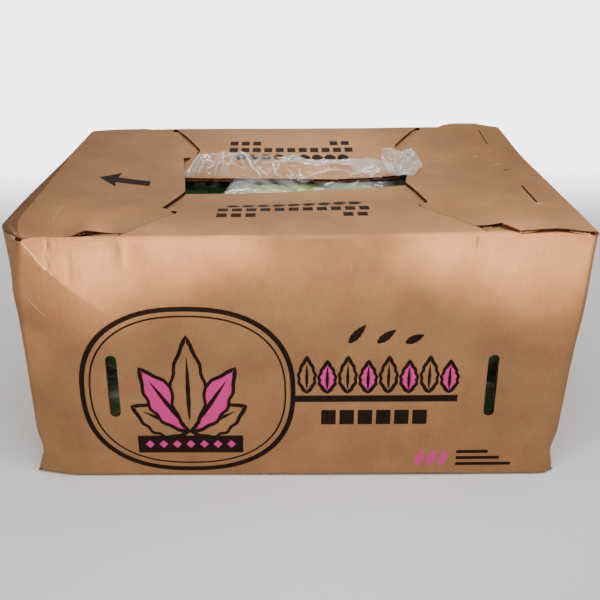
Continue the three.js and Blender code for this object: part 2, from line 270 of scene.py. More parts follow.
def add_kraft(add, tones, washboard):
    """The colour, bump and roughness nodes of one kraft face."""
    at = add("Attribute", {"attribute_name": "sheet_mm"}).outputs["Vector"]
    # Clouds 59 mm wide, fibre streaks 14 mm long and 1 mm wide, mottle of 3 mm, specks of 0.9 mm.
    clouds = add("TexNoise", Vector=at, Scale=0.017, Detail=5.0, Roughness=0.6)
    long_way = add("Mapping", Vector=at, Scale=(0.9, 0.07, 1.0))
    fibres = add("TexNoise", Vector=long_way, Scale=1.0, Detail=3.0)
    mottle = add("TexNoise", Vector=at, Scale=0.35, Detail=4.0, Roughness=0.65)
    specks = add("TexNoise", Vector=at, Scale=1.1, Detail=1.0)
    mix = add("Math", MULTIPLY_ADD, i0=fibres, i1=0.35, i2=clouds)
    mix = add("Math", MULTIPLY_ADD, i0=mottle, i1=0.45, i2=mix)
    tone = add("MapRange", Value=mix, From_Min=0.68, From_Max=1.12)
    tone = add("ValToRGB", {"stops": list(zip((0, 0.5, 1), tones))}, Fac=tone)
    dark = add("MapRange", Value=specks, From_Min=0.70, From_Max=0.78)
    tone = add("Mix", COLOUR_MIX, Factor=dark, i6=tone, i7="#6f4a30")
    pale = add("MapRange", Value=specks, From_Min=0.30, From_Max=0.24, To_Max=0.6)
    tone = add("Mix", COLOUR_MIX, Factor=pale, i6=tone.outputs[2], i7="#c29a74")
    across = add("SeparateXYZ", Vector=at)
    turns = add("Math", MULTIPLY, i0=across, i1=2 * math.pi / FLUTE_PITCH)
    flutes = add("Math", {"operation": "SINE"}, i0=turns)
    height = add("Math", MULTIPLY_ADD, i0=flutes, i1=washboard, i2=mottle)
    bump = add("Bump", Strength=0.25, Distance=0.0006, Height=height)
    rough = add("MapRange", Value=mix, From_Min=0.6, From_Max=1.2, To_Min=0.62, To_Max=0.78)
    return tone.outputs[2], bump, rough


def kraft_material(name, tones, washboard=0.0):
    material, add = new_material(name)
    colour, bump, rough = add_kraft(add, tones, washboard)
    add("OutputMaterial", Surface=add("BsdfPrincipled", Base_Color=colour, Roughness=rough,
                                      Normal=bump, Specular_IOR_Level=0.08))
    return material


print("kraft tones", *KRAFT, "with flutes every", FLUTE_PITCH, "mm")

# %% [markdown]
# Flexographic ink soaks into the paper a little, so its edge is crisp but its face is broken by
# pinholes where the fibres stand proud. Each ink mixes the kraft graph with a flat ink colour.

# %% Flexo inks
def ink_material(name, ink):
    material, add = new_material(name)
    colour, bump, rough = add_kraft(add, KRAFT, WASHBOARD)
    sheet = add("Attribute", {"attribute_name": "sheet_mm"}).outputs["Vector"]
    # Pinholes about 1 mm across.
    pinholes = add("TexNoise", Vector=sheet, Scale=0.9, Detail=5.0, Roughness=0.7)
    laid = add("MapRange", Value=pinholes, From_Min=0.30, From_Max=0.42, To_Min=0.5, To_Max=0.97)
    printed = add("Mix", COLOUR_MIX, Factor=laid, i6=colour, i7=ink)
    add("OutputMaterial", Surface=add("BsdfPrincipled", Base_Color=printed.outputs[2],
                                      Roughness=rough, Normal=bump, Specular_IOR_Level=0.05))
    return material


print("ready: ink_material")

# %% The case's materials, in the order of their slots
CASE_MATERIALS = [
    kraft_material("kraft_linerboard_outside", KRAFT, WASHBOARD),
    kraft_material("kraft_linerboard_inside", ("#876143", "#956e4d", "#a47b57"), 0.9),
    # The cut board's own dark colour, also used for thin lines of painted shade in gaps.
    kraft_material("kraft_cut_edge_and_painted_shade_lines", ("#321a0e", "#513022", "#7c4c33")),
    ink_material("flexo_ink_black", "#0d090b"),
    ink_material("flexo_ink_pink", "#d43a86"),
    # Pale kraft for real scuffs and scratches, and for painted highlights on the ridge, creases and rims.
    kraft_material("kraft_scuffs_and_painted_highlights", ("#ab835f", "#bd9672", "#cdaa88")),
    # Darker kraft for painted shade along folds and in creases.
    kraft_material("kraft_painted_fold_shade", ("#65442c", "#714d33", "#7e583c"))]
OUTSIDE, INSIDE, CUT_EDGE_AND_SHADE, BLACK, PINK, SCUFF_AND_HIGHLIGHT, PAINTED_SHADE = range(len(CASE_MATERIALS))
print("case materials:", [m.name for m in CASE_MATERIALS])

# %% [markdown]
# A packed carton is never a true box. The load pushes its front out, most at the foot, and the
# bottom corners are pinched. The front left corner is dented: a ridge runs down the front panel
# from it, and the top of the left end stands out beside it. All board pieces share these dents,
# so one function moves every point of the case, and pieces that meet still meet.

# %% Dents and bulges of the case
FOOT_PUSH_LEFT, FOOT_PUSH_MORE_RIGHT = 17.8, 4.0
FRONT_BULGE, BACK_BULGE, END_BULGE, RIGHT_BULGE = 2.5, 6.0, 3.5, 5.0
PINCH_DEPTH, PINCH_HEIGHT, PINCH_REACH = 5.0, 29.0, 15.0
RIDGE_TOP, RIDGE_LOW = np.array([-287.0, 282.0]), np.array([-200.0, 197.0])
RIDGE_HEIGHT, RIDGE_SHADY_SIDE, RIDGE_LIT_SIDE = 10.0, 52.0, 62.0
# Each crease: its place along the front and up it, half its height, its width and its depth.
SHORT_CREASES = [(-260, 266, 18, 1.5, -1.0), (-239, 254, 17, 3.0, -0.8), (-186, 268, 16, 5.0, 1.2),
                 (176, 279, 8, 1.5, -0.9)]
LIP_FLARE, LIP_FRONT, LIP_DROP = 20.5, -151.0, 5.0


def capped(value, low=0, high=1):
    return np.clip(value, low, high)


def front_dents(x, z, front, near_front):
    """How far the front panel's dents, its ridge and its creases stand out to the front."""
    along = (RIDGE_LOW - RIDGE_TOP) / np.linalg.norm(RIDGE_LOW - RIDGE_TOP)
    beyond = np.stack([x, z], 1) - RIDGE_TOP
    aside, reach = beyond @ np.array([along[1], -along[0]]), beyond @ along
    tent = np.where(aside > 0, np.maximum(1 - aside / RIDGE_SHADY_SIDE, -0.35),
                    capped(1 + aside / RIDGE_LIT_SIDE) ** 1.25)
    fading = smooth(-30, 40, reach) * (1 - smooth(60, 150, reach)) * near_front
    yield RIDGE_HEIGHT * tent * fading * (1 - 0.75 * smooth(262, 281, z))
    yield RIGHT_BULGE * np.exp(-((z - 206) / 42) ** 2) * smooth(90, 270, x) * front
    for at_x, at_z, tall, width, depth in SHORT_CREASES:
        bow = at_x + 2.5 * np.cos((z - at_z) / tall)
        yield depth * np.exp(-((x - bow) / width) ** 2 - ((z - at_z) / tall) ** 4) * front


def worn(points):
    x, y, z = (points[:, i].copy() for i in range(3))
    far_x, far_y = np.abs(x) / HALF_LENGTH, np.abs(y) / HALF_DEPTH
    share = capped(z / WALL_TOP)
    belly = np.sin(np.pi * (0.25 + 0.75 * share))
    foot = (FOOT_PUSH_LEFT + FOOT_PUSH_MORE_RIGHT * smooth(-295, 200, x)) * smooth(-335, -245, x)
    foot *= 1 - 0.35 * smooth(275, 298, x)
    crown = FRONT_BULGE * (1 - capped(far_x) ** 2)
    front_move = crown + (foot - crown) * (1 - share ** 1.3)
    near_front, near_back = capped(-y / HALF_DEPTH, 0, 1.1), capped(y / HALF_DEPTH, 0, 1.1)
    near_end = capped(far_x, 0, 1.1) ** 8
    move = np.zeros_like(points)
    move[:, 1] -= front_move * near_front ** 6
    move[:, 1] += BACK_BULGE * belly * near_back ** 6 * (1 - capped(far_x) ** 2.4)
    move[:, 0] += np.sign(x) * END_BULGE * belly * near_end * (1 - capped(far_y) ** 2.4)
    # Towards the front the ends stand narrower at the foot, with a pinch just above it.
    taper = np.where(x < 0, 2.5 * smooth(60, 200, z) + 1.6, 15.0 * share ** 1.3 - 9.5)
    taper *= 1 - smooth(-160, 140, y)
    pinch = PINCH_DEPTH * np.exp(-((z - PINCH_HEIGHT) / PINCH_REACH) ** 2) * far_y ** 8
    splay = np.where(x < 0, 4.0, 1.0) * (1 - smooth(0, 22, z)) * far_y ** 8
    move[:, 0] += np.sign(x) * near_end * (taper - pinch + splay)
    from_front = y + HALF_DEPTH
    for dent in front_dents(x, z, 1 - smooth(4, 20, from_front), 1 - smooth(4, 60, from_front)):
        move[:, 1] -= dent
    # The lip: the left end's top stands out more and more towards the front, then turns back in.
    turned = capped((LIP_FRONT - y) / (LIP_FRONT + HALF_DEPTH)) ** 1.3
    towards_back = 1 - 0.9 * capped((y - LIP_FRONT) / (HALF_DEPTH - LIP_FRONT))
    flare = smooth(135, 292, z) * towards_back * (1 - turned) - 0.56 * smooth(215, 281, z) * turned
    move[:, 0] -= LIP_FLARE * flare * capped(-x / HALF_LENGTH) ** 12
    drop = capped(flare) * smooth(240, 281, z)
    move[:, 2] -= LIP_DROP * drop * (1 - smooth(-HALF_LENGTH - 2, -274, x))
    # The top isn't level: it is low at the front left and high at both right corners.
    near_top = smooth(200, 281, z)
    move[:, 2] += near_top * smooth(60, 206, -y) * np.interp(x, [-200, 230], [-2.5, 1.6])
    move[:, 2] += near_top * smooth(60, 206, y) * np.interp(x, [-295, -170, 100, 190, 290],
                                                             [0.5, 3.5, 4.5, 6.0, 5.0])
    return points + move


foot_point = np.array([[200.0, -HALF_DEPTH, 4.0]])
print("the front's foot moves by", np.round(worn(foot_point) - foot_point, 1)[0], "mm")

# %% [markdown]
# Every panel is the same corrugated board: two flat liners with a waved medium glued between
# them, which shows wherever the board is cut. The board function takes the flat outline a die
# would cut, with its holes and its printed shapes, triangulates it with Blender's constrained
# Delaunay routine, and bends the two liners and a strip of medium into place.

# %% Flat outlines
SERRATED_STEP, PLAIN_STEP, PRINT_STEP, CHAIN_STEP = 1.4, 2.5, 3.0, 1.3
CLEAR_OF_RINGS = 1.6  # how close to a cut or a printed edge a point of the lattice may lie


def resampled(loop, step):
    loop = np.asarray(loop, float)
    runs = []
    for p, q in zip(loop, np.roll(loop, -1, axis=0)):
        count = max(1, math.ceil(np.linalg.norm(q - p) / step))
        runs.append(p + (q - p) * (np.arange(count) / count)[:, None])
    return np.concatenate(runs)


def inside(points, loop):
    ax, ay = np.asarray(loop).T
    bx, by = np.roll(ax, -1), np.roll(ay, -1)
    x, y = points[:, :1], points[:, 1:]
    rise = np.where(by == ay, 1, by - ay)
    crosses = ((ay > y) != (by > y)) & (x < ax + (y - ay) * (bx - ax) / rise)
    return crosses.sum(1) % 2 == 1


def right_of(loop):
    """At each point of a loop, a unit vector to the right of its way."""
    turn = np.roll(loop, -1, axis=0) - np.roll(loop, 1, axis=0)
    out = np.stack([turn[:, 1], -turn[:, 0]], 1)
    return out / np.maximum(np.linalg.norm(out, axis=1, keepdims=True), 1e-9)


def toothed(loop, depth=0.35):
    """A die's serrated knife leaves fine teeth along a cut."""
    return loop + right_of(loop) * depth * np.where(np.arange(len(loop)) % 2, 1, -1)[:, None]


def lattice_over(loop, step, dense):
    """A grid of points over a loop, with finer patches where the sheet is creased."""
    def grid_points(xs, ys):
        return np.stack(np.meshgrid(xs, ys), -1).reshape(-1, 2)

    low, high = np.min(loop, 0), np.max(loop, 0)
    grid = grid_points(*(np.arange(low[i] + step / 2, high[i], step) for i in (0, 1)))
    for (a0, b0, a1, b1), fine_a, fine_b in dense:
        grid = grid[~((grid[:, 0] > a0 - fine_a) & (grid[:, 0] < a1 + fine_a)
                      & (grid[:, 1] > b0 - fine_b) & (grid[:, 1] < b1 + fine_b))]
        patch = grid_points(np.arange(a0, a1 + 0.01, fine_a), np.arange(b0, b1 + 0.01, fine_b))
        grid = np.concatenate([grid, patch])
    return grid


print("points every", SERRATED_STEP, "mm on a serrated edge and", PLAIN_STEP, "mm on a plain one")

# %% Triangulation of a flat sheet
def triangulate(outline, holes, prints, lattice):
    """Points, triangles and the ink of each triangle, for a sheet with holes and printed shapes."""
    def on_board(spots):
        return inside(spots, outline) & ~np.any([inside(spots, hole) for hole in holes], axis=0)

    rings = [outline, *holes, *(ring for shape, _ in prints for ring in shape)]
    far = np.ones(len(lattice), bool)
    for ring in rings:
        for block in np.array_split(np.arange(len(lattice)), max(1, len(lattice) // 2000)):
            gap = np.abs(lattice[block][:, None, :] - ring[None]).max(2).min(1)
            far[block] &= gap > CLEAR_OF_RINGS
    points = np.concatenate([*rings, lattice[on_board(lattice) & far]])
    edges, start = [], 0
    for ring in rings:
        count = len(ring)
        edges += [(start + i, start + (i + 1) % count) for i in range(count)]
        start += count
    found = delaunay_2d_cdt([Vector(p) for p in points], edges, [], 0, 1e-4)
    flat = np.array([v[:] for v in found[0]])
    triangles = np.array(found[2])
    triangles = triangles[on_board(flat[triangles].mean(1))]
    middle = flat[triangles].mean(1)
    ink = np.zeros(len(triangles), int)
    for shape, colour in prints:
        ink[np.logical_xor.reduce([inside(middle, ring) for ring in shape])] = colour
    used, triangles = np.unique(triangles, return_inverse=True)
    return flat[used], triangles.reshape(-1, 3), ink


def border_chains(triangles):
    """The sheet's borders as closed chains of points, each with the board on its left."""
    edges = np.concatenate([triangles[:, [0, 1]], triangles[:, [1, 2]], triangles[:, [2, 0]]])
    pairs = set(map(tuple, edges.tolist()))
    onward = {}
    for a, b in sorted(pairs):
        if (b, a) not in pairs:
            onward.setdefault(a, []).append(b)
    chains = []
    while onward:
        chain, current = [], next(iter(onward))
        while current in onward:
            chain.append(current)
            ways = onward[current]
            following = ways.pop()
            if not ways:
                del onward[current]
            current = following
        chains.append(chain)
    return chains


print("ready: triangulate, border_chains")

# %% The board function
LINER_THICKNESS = 0.45
MEDIUM_RECESS, MEDIUM_REACH, MEDIUM_HALF = 0.5, 4.5, 0.12
MEDIUM_SWING = BOARD / 2 - LINER_THICKNESS - MEDIUM_HALF - 0.05


def board(name, node_names, body, outline, holes, place, flute, step, dense, prints=(),
          serrated=False):
    cut = resampled(outline, SERRATED_STEP if serrated else PLAIN_STEP)
    if serrated:
        reach = np.abs(cut[:, 1 - flute])
        cut = np.where((reach < reach.max() - 0.01)[:, None], toothed(cut), cut)
    holes = [resampled(hole, SERRATED_STEP) for hole in holes]
    prints = [([resampled(ring, PRINT_STEP) for ring in shape], ink) for shape, ink in prints]
    flat, triangles, ink = triangulate(cut, holes, prints, lattice_over(cut, step, dense))
    # The two liners, each with an outer and an inner face.
    count = len(flat)
    depths = [0.0, LINER_THICKNESS, BOARD - LINER_THICKNESS, BOARD]
    points = [place(*flat.T, np.full(count, depth)) for depth in depths]
    faces = [f for k in range(4) for f in (triangles[:, ::(-1) ** k] + k * count).tolist()]
    slots = [*ink, *np.repeat((CUT_EDGE_AND_SHADE, CUT_EDGE_AND_SHADE, INSIDE), len(ink))]
    sheet = [flat] * 4
    start = 4 * count
    for chain in border_chains(triangles):
        # The liners' cut edges, and between them a strip of the medium, as a waved tube.
        for a, b in zip(chain, chain[1:] + chain[:1]):
            faces += [(a + top, a + top + count, b + top + count, b + top) for top in (0, 2 * count)]
        ring = resampled(flat[chain], CHAIN_STEP)
        for reach, side in ((MEDIUM_RECESS, -1), (MEDIUM_RECESS, 1), (MEDIUM_REACH, 1),
                            (MEDIUM_REACH, -1)):
            spot = ring - right_of(ring) * reach
            wave = np.sin(2 * np.pi * spot[:, flute] / FLUTE_PITCH)
            points.append(place(*spot.T, BOARD / 2 + MEDIUM_SWING * wave + side * MEDIUM_HALF))
            sheet.append(spot)
        size = len(ring)
        for i in range(size):
            j = (i + 1) % size
            for k in range(4):
                p, q = start + k * size, start + (k + 1) % 4 * size
                faces.append((p + i, q + i, q + j, p + j))
        start += 4 * size
    slots += [CUT_EDGE_AND_SHADE] * (len(faces) - len(slots))
    sheet = np.concatenate(sheet)
    sheet_mm = np.stack([sheet[:, flute], sheet[:, 1 - flute], np.zeros(len(sheet))], 1)
    piece = make_piece(name, worn(np.concatenate(points)), faces, CASE_MATERIALS, slots,
                       {"sheet_mm": sheet_mm})
    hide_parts(*node_names)
    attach(piece, body)
    print(f"{name}: {len(piece.data.polygons)} faces")


# %% [markdown]
# The print on such a carton is two inks, black and a bright pink. This one carries plain leaf
# designs: a roundel with a fan of leaves, a row of lying leaves over a broken bar, and small
# marks. Each shape is a closed loop from a formula, so the ink has a crisp edge at any distance.

# %% Shapes for the print
def leaf_shape(x, z, length, width, lean, inset=0.0):
    """A long leaf that stands on (x, z) and leans by an angle in degrees, shrunk by an inset."""
    along = np.linspace(0.0, 1.0, 22)
    half = (width / 2) * np.sin(np.pi * along ** 0.8) ** 0.8 * (1 + 0.07 * np.sin(9 * np.pi * along))
    side = np.stack([np.maximum(half - inset, 0), inset + along * (length - 2 * inset)], 1)
    loop = np.concatenate([side, (side * [-1, 1])[-2:0:-1]])
    loop = loop[np.concatenate([[True], np.linalg.norm(np.diff(loop, axis=0), axis=1) > 0.05])]
    turn = math.radians(lean)
    return np.stack([x + loop[:, 0] * math.cos(turn) + loop[:, 1] * math.sin(turn),
                     z - loop[:, 0] * math.sin(turn) + loop[:, 1] * math.cos(turn)], 1)


def oval(x, z, half_width, half_height, power=2.4):
    angle = np.linspace(0, 2 * np.pi, 72, endpoint=False)
    c, s = np.cos(angle), np.sin(angle)
    return np.stack([x + half_width * np.sign(c) * np.abs(c) ** (2 / power),
                     z + half_height * np.sign(s) * np.abs(s) ** (2 / power)], 1)


def bar(x0, z0, x1, z1):
    return np.array([(x0, z0), (x1, z0), (x1, z1), (x0, z1)], float)


def marks(ink, *shapes):
    """Printed shapes, worn patches, or painted highlights and shade, each one loop of points, in one ink
    or finish.
    """
    return [([np.array(shape, float)], ink) for shape in shapes]


def printed_leaf(x, z, length, width, lean, fill, outline=3.6):
    """A leaf with a black outline, a filling and a black midrib."""
    turn = math.radians(lean)
    foot = (x + 0.12 * length * math.sin(turn), z + 0.12 * length * math.cos(turn))
    return [*marks(BLACK, leaf_shape(x, z, length, width, lean)),
            *marks(fill, leaf_shape(x, z, length, width, lean, outline)),
            *marks(BLACK, leaf_shape(*foot, 0.68 * length, 0.07 * width + 2.0, lean))]


print("an oval has", len(oval(0, 0, 10, 5)), "points")

# %% The design on the front and on the long flaps
def front_design():
    middle, level = -124, 108
    art = [([oval(middle, level, wide, high), oval(middle, level, wide - line, high - line)], BLACK)
           for wide, high, line in ((116, 100, 5.5), (106, 90, 2))]
    for lean, length, fill in ((-62, 72, OUTSIDE), (62, 72, OUTSIDE), (-33, 96, PINK), (33, 96, PINK),
                               (0, 118, OUTSIDE)):
        art += printed_leaf(middle, 58, length, 40, lean, fill)
    art += marks(BLACK, bar(middle - 58, 32, middle + 58, 54))
    art += marks(PINK, *([(at - 5, 43), (at, 38), (at + 5, 43), (at, 48)]
                         for at in range(middle - 45, middle + 46, 15)))
    for k in range(8):
        art += printed_leaf(4 + 22 * k, 106, 46 - 5 * (k % 2), 21, 0, PINK if k % 2 else OUTSIDE, 3.4)
    art += marks(BLACK, bar(-10, 96, 168, 104))
    art += marks(BLACK, *(bar(20 + 20 * k, 68, 36 + 20 * k, 86) for k in range(6)))
    art += marks(BLACK, *(leaf_shape(48 + 30 * k, 166, 28 - 3 * k, 9, 40 + 12 * k) for k in range(3)))
    art += marks(PINK, *(leaf_shape(128 + 13 * k, 14, 22, 9, 18) for k in range(3)))
    return art + marks(BLACK, *(bar(172, 14 + 8 * k, 236 - 14 * k, 18 + 8 * k) for k in range(3)))


def flap_design(level, up):
    """Three rows of marks on a long flap; up is 1 where they read from the front, -1 from behind."""
    art = marks(BLACK, *(leaf_shape(-84 + 17 * k, level, 16, 17, 90) for k in range(9)))
    for first, count, row in ((-92, 11, 1), (-92, 3, 2), (44, 2, 2)):
        low, high = sorted((level - (22 * row + 7) * up, level - (22 * row - 7) * up))
        art += marks(BLACK, *(bar(first + 15.5 * k, low, first + 15.5 * k + 11, high)
                              for k in range(count)))
    return art


print("printed shapes on the front:", len(front_design()))

# %% [markdown]
# The four walls are one sleeve of board, folded at three corners and glued at the fourth, at the
# back left. Going round it, the flat sheet's first coordinate is the distance along the outside
# and its second is the height. Corners are folded to a radius of a board's thickness or so. The
# long walls have two vent slots each, and the end walls a hand hole.

# %% From the flat sleeve to the standing one
CORNER = 6.0
straight_end = 2 * (HALF_DEPTH - CORNER)
straight_long = 2 * (HALF_LENGTH - CORNER)
quarter = CORNER * math.pi / 2
SLEEVE = 2 * (straight_end + straight_long) + 4 * quarter


def sleeve_place(s, z, h):
    """From distance round the sleeve, height and depth below the outside to a place in space."""
    lengths = [straight_end, quarter, straight_long, quarter] * 2
    headings = [-90, -90, 0, 0, 90, 90, 180, 180]
    at = np.array([-HALF_LENGTH, HALF_DEPTH - CORNER])
    x, y = np.zeros_like(s), np.zeros_like(s)
    begun = 0.0
    for k, (length, heading) in enumerate(zip(lengths, headings)):
        here = ((s >= begun) | (k == 0)) & ((s < begun + length) | (k == 7))
        turn = math.radians(heading)
        ahead = np.array([math.cos(turn), math.sin(turn)])
        inward = np.array([-ahead[1], ahead[0]])
        t = s[here] - begun
        if k % 2 == 0:
            spot = at + t[:, None] * ahead + h[here, None] * inward
            at = at + length * ahead
        else:
            angle = (t / CORNER)[:, None]
            spot = (at + inward * CORNER + (CORNER - h[here, None])
                    * (np.sin(angle) * ahead - np.cos(angle) * inward))
            at = at + CORNER * (ahead + inward)
        x[here], y[here] = spot.T
        begun += length
    return np.stack([x, y, z], 1)


print("the sleeve's straight runs:", round(straight_long, 1), "and", round(straight_end, 1), "mm")

# %% The sleeve of walls
FRONT_START = straight_end + quarter - (-HALF_LENGTH + CORNER)
RIGHT_MIDDLE = straight_end * 1.5 + 2 * quarter + straight_long
BACK_MIDDLE = straight_end * 2 + 3 * quarter + straight_long * 1.5
VENT_X, VENT_HEIGHT, VENT_SIZE = 204.0, 115.0, (12.0, 74.0)
HAND_HOLE_HEIGHT, HAND_HOLE_SIZE = 195.0, (95.0, 26.0)
GLUE_GAP = 0.3
END_WALL_BASE = box_mm("wall_left")[0][2]


def round_slot(a, b, width, height):
    radius = min(width, height) / 2
    angle = np.linspace(0, 2 * np.pi, 28, endpoint=False)
    c, s = np.cos(angle), np.sin(angle)
    return np.stack([a + radius * c + np.sign(np.round(c, 9)) * (width / 2 - radius),
                     b + radius * s + np.sign(np.round(s, 9)) * (height / 2 - radius)], 1)


right_start = straight_end + 2 * quarter + straight_long
back_start = 2 * straight_end + 2 * quarter + straight_long
sleeve_end = SLEEVE - GLUE_GAP
sleeve_outline = [(0, END_WALL_BASE), (straight_end, END_WALL_BASE), (straight_end, WALL_BASE),
                  (right_start, WALL_BASE), (right_start, END_WALL_BASE),
                  (back_start, END_WALL_BASE), (back_start, WALL_BASE),
                  (sleeve_end, WALL_BASE), (sleeve_end, WALL_TOP), (0, WALL_TOP)]
vents = [round_slot(middle + side * VENT_X, VENT_HEIGHT, *VENT_SIZE)
         for middle in (FRONT_START, BACK_MIDDLE) for side in (-1, 1)]
grips = [round_slot(middle, HAND_HOLE_HEIGHT, *HAND_HOLE_SIZE)
         for middle in (straight_end / 2, RIGHT_MIDDLE)]
fine_patches = []
folded = 0.0
for length in (straight_end, straight_long) * 2:
    folded += length
    fine_patches.append(((folded - 1, WALL_BASE + 2, folded + quarter + 1, WALL_TOP - 2), 1.6, 8.0))
    folded += quarter
fine_patches.append(((FRONT_START - 286, 186, FRONT_START - 150, WALL_TOP - 2), 2.6, 3.0))
# Along the ridge and the creases, the pale slivers are painted highlights and the dark ones painted shade.
creases = marks(
    SCUFF_AND_HIGHLIGHT,
    [(-291, 280.5), (-287.5, 281), (-272, 268.6), (-252, 249.0), (-254, 249.0), (-274, 268)],
    [(-257.6, 262), (-256, 256), (-256.2, 250), (-257.4, 255)],
    [(-287, 226.6), (-273, 207), (-260, 190.8), (-274, 206.2)]) + marks(
    PAINTED_SHADE,
    [(-257.6, 279), (-259.6, 268), (-258.8, 254), (-258.2, 254), (-258.8, 268), (-256.8, 279)],
    [(175.2, 281), (174.6, 272), (175.4, 264), (175.6, 272), (176.2, 281)])
front_art = [([ring + [FRONT_START, 0] for ring in shape], ink)
             for shape, ink in front_design() + creases]
board("case_walls", ["wall_front", "wall_back", "wall_left", "wall_right"], "case", sleeve_outline,
      vents + grips, sleeve_place, flute=0, step=9.0, dense=fine_patches, prints=front_art)
print("vents:", len(vents), "hand holes:", len(grips))

# %% [markdown]
# The bottom is closed by four flaps. The two inner ones fold in from the ends, and the two outer
# ones meet under them along the middle. Each turns in from its wall round a score line.

# %% Flaps in general
# For each side: whether its fold runs along X, and on which side of the middle it lies.
FOLDS = {"front": (True, -1), "back": (True, 1), "left": (False, -1), "right": (False, 1)}


def flap_place(across_x, sign, half, fold_z, radius, level, down=False):
    """Where a point of a flat flap goes once the flap is folded in from its wall.

    across_x says that the flap's fold runs along X. half is the distance of the fold's wall from
    the middle, fold_z the height where the bend starts, and level(x, y) the outer face's height.
    """
    bend = radius * math.pi / 2

    def place(a, b, h):
        x, y = (a, -b) if down else (a, b)
        out = sign * (y if across_x else x)
        run = half + bend - radius - out
        angle = np.clip(run, 0, bend) / radius
        flat_z = level(x, y) + (h if down else -h)
        bent_z = fold_z + (-1 if down else 1) * ((radius - h) * np.sin(angle) + np.minimum(run, 0))
        z = np.where(run < bend, bent_z, flat_z)
        out = np.where(run < bend, half - radius + (radius - h) * np.cos(angle), out)
        return np.stack([x if across_x else sign * out, sign * out if across_x else y, z], 1)

    return place


def fold_rows(across_x, sign, half, radius, width):
    """A finer patch of points along a fold, in the flap's flat coordinates."""
    low, high = sorted((sign * (half - 10), sign * (half + radius * (math.pi / 2 - 1))))
    if across_x:
        return ((-width, low, width, high), 8.0, 1.3)
    return ((low, -width, high, width), 1.3, 8.0)


print("folds:", *FOLDS)

# %% Bottom flaps
BOTTOM_REACH = HALF_DEPTH + box_mm("bottom_flap_front")[1][1]


def bottom_flap(side):
    across_x, sign = FOLDS[side]
    node = f"bottom_flap_{side}"
    base = box_mm(node)[0][2]
    half, other = (HALF_DEPTH, HALF_LENGTH) if across_x else (HALF_LENGTH, HALF_DEPTH - BOARD - 0.5)
    radius = (WALL_BASE if across_x else END_WALL_BASE) - base - 0.05
    edge = half + radius * (math.pi / 2 - 1)
    u0, u1 = sorted((sign * (half - BOTTOM_REACH), sign * edge))
    outline = bar(-other, u0, other, u1) if across_x else bar(u0, -other, u1, other)
    place = flap_place(across_x, sign, half, base + radius, radius,
                       lambda x, y: np.full_like(x, base), down=True)
    rows = fold_rows(across_x, -sign if across_x else sign, half, radius, other)
    board(f"board_{node}", [node], "case", outline * [1, -1], [], place,
          flute=0 if across_x else 1, step=14.0, dense=[rows])


for side in FOLDS:
    bottom_flap(side)
print("bottom flaps:", len(FOLDS))

# %% [markdown]
# The lid is four flaps that hold each other shut. The long flaps' corners lie on the end flaps,
# and their narrow tabs lie under the end flaps' tips, so pulling one up lifts the next. The whole
# lid sags towards the slot, more on the left. One surface gives the sag, and each flap lies half a
# lap above or below it. The cut edges show the serrations of the die.

# %% The lid's surface
LID_SAG_LEFT, LID_SAG_RIGHT = 17.0, 9.0
HALF_LAP = 2.1
LAP_SHIFT_FRONT, LAP_SHIFT_BACK = -1, 10.0  # mm, moves where the laps cross
FOLD_RADIUS = FLAP_TOP - WALL_TOP - 0.05


def lid(x, y):
    share = capped((x + HALF_LENGTH) / (2 * HALF_LENGTH))
    sag = LID_SAG_LEFT + (LID_SAG_RIGHT - LID_SAG_LEFT) * share
    stations = [-150, -80, -20, 45, 90, 135]
    front_lip = np.interp(x, stations, [-5.5, -3.3, -1.5, 1.4, 1.7, 4.0])
    back_lip = np.interp(x, stations, [-4.0, -3.0, -3.4, -5.4, -4.4, -2.4])
    by_slot = (1 - smooth(40, 150, np.abs(y))) * (1 - smooth(150, 280, np.abs(x)))
    lip = front_lip + (back_lip - front_lip) * smooth(-30, 30, y)
    return FLAP_TOP + by_slot * lip - sag * (
        (1 - capped(np.abs(x) / (HALF_LENGTH - BOARD)) ** 2)
        * (1 - capped(np.abs(y) / (HALF_DEPTH - BOARD))))


def lap_place(x, y):
    """Distance from the middle, moved so that the laps at the four corners cross where they should."""
    left = 1 - smooth(-60, 60, x)
    return np.abs(y) + np.where(y > 0, LAP_SHIFT_BACK + 8 * left, LAP_SHIFT_FRONT - 9 * left)


def end_top(x, y):
    far_x, far_y = np.abs(x), lap_place(x, y)
    under = smooth(104, 118, far_y) * (1 - smooth(190, 226, far_x))
    z = lid(x, y) + HALF_LAP * (1 - 2 * under) * (1 - smooth(250, 288, far_x))
    right, left = x > 0, x < 0
    z += right * 2.0 * np.exp(-((x - 256) / 24) ** 2) * smooth(120, 206, -y)
    z += right * np.interp(x, [190, 206, 232, 262, 292], [0, 1, 3, 3, 0]) * smooth(150, 206, y)
    settled = smooth(140, 196, -y) * smooth(222, 240, far_x) * (1 - smooth(284, 296, far_x))
    settled_back = smooth(140, 196, y) * (1 - smooth(250, 288, far_x)) * smooth(200, 230, far_x)
    return z - left * ((HALF_LAP + 0.4) * settled + 1.2 * settled_back)


def long_top(x, y):
    far_x, far_y = np.abs(x), np.where(np.abs(y) < 150, lap_place(x, y), np.abs(y))
    start = 60 + 44 * smooth(100, 134, far_x)
    over = smooth(0, 1, (far_y - start) / (118 - start))
    z = lid(x, y) + HALF_LAP * (2 * over - 1) * (1 - smooth(165, 200, far_y))
    shoulder = (far_x > np.where(y > 0, 174.5, 185.5)) & (far_y > 150)
    return z - shoulder * (7.0 * (1 - smooth(174, 204, far_y)) + 2.0 * smooth(204, 220, far_x))


print("the lid's middle is down by", round(float(FLAP_TOP - lid(0.0, 0.0)), 1), "mm")

# %% The outlines of the top flaps
FOLD_EXTRA = FOLD_RADIUS * (math.pi / 2 - 1) + 0.2
SLOT_HALF_WIDTH = 30.0
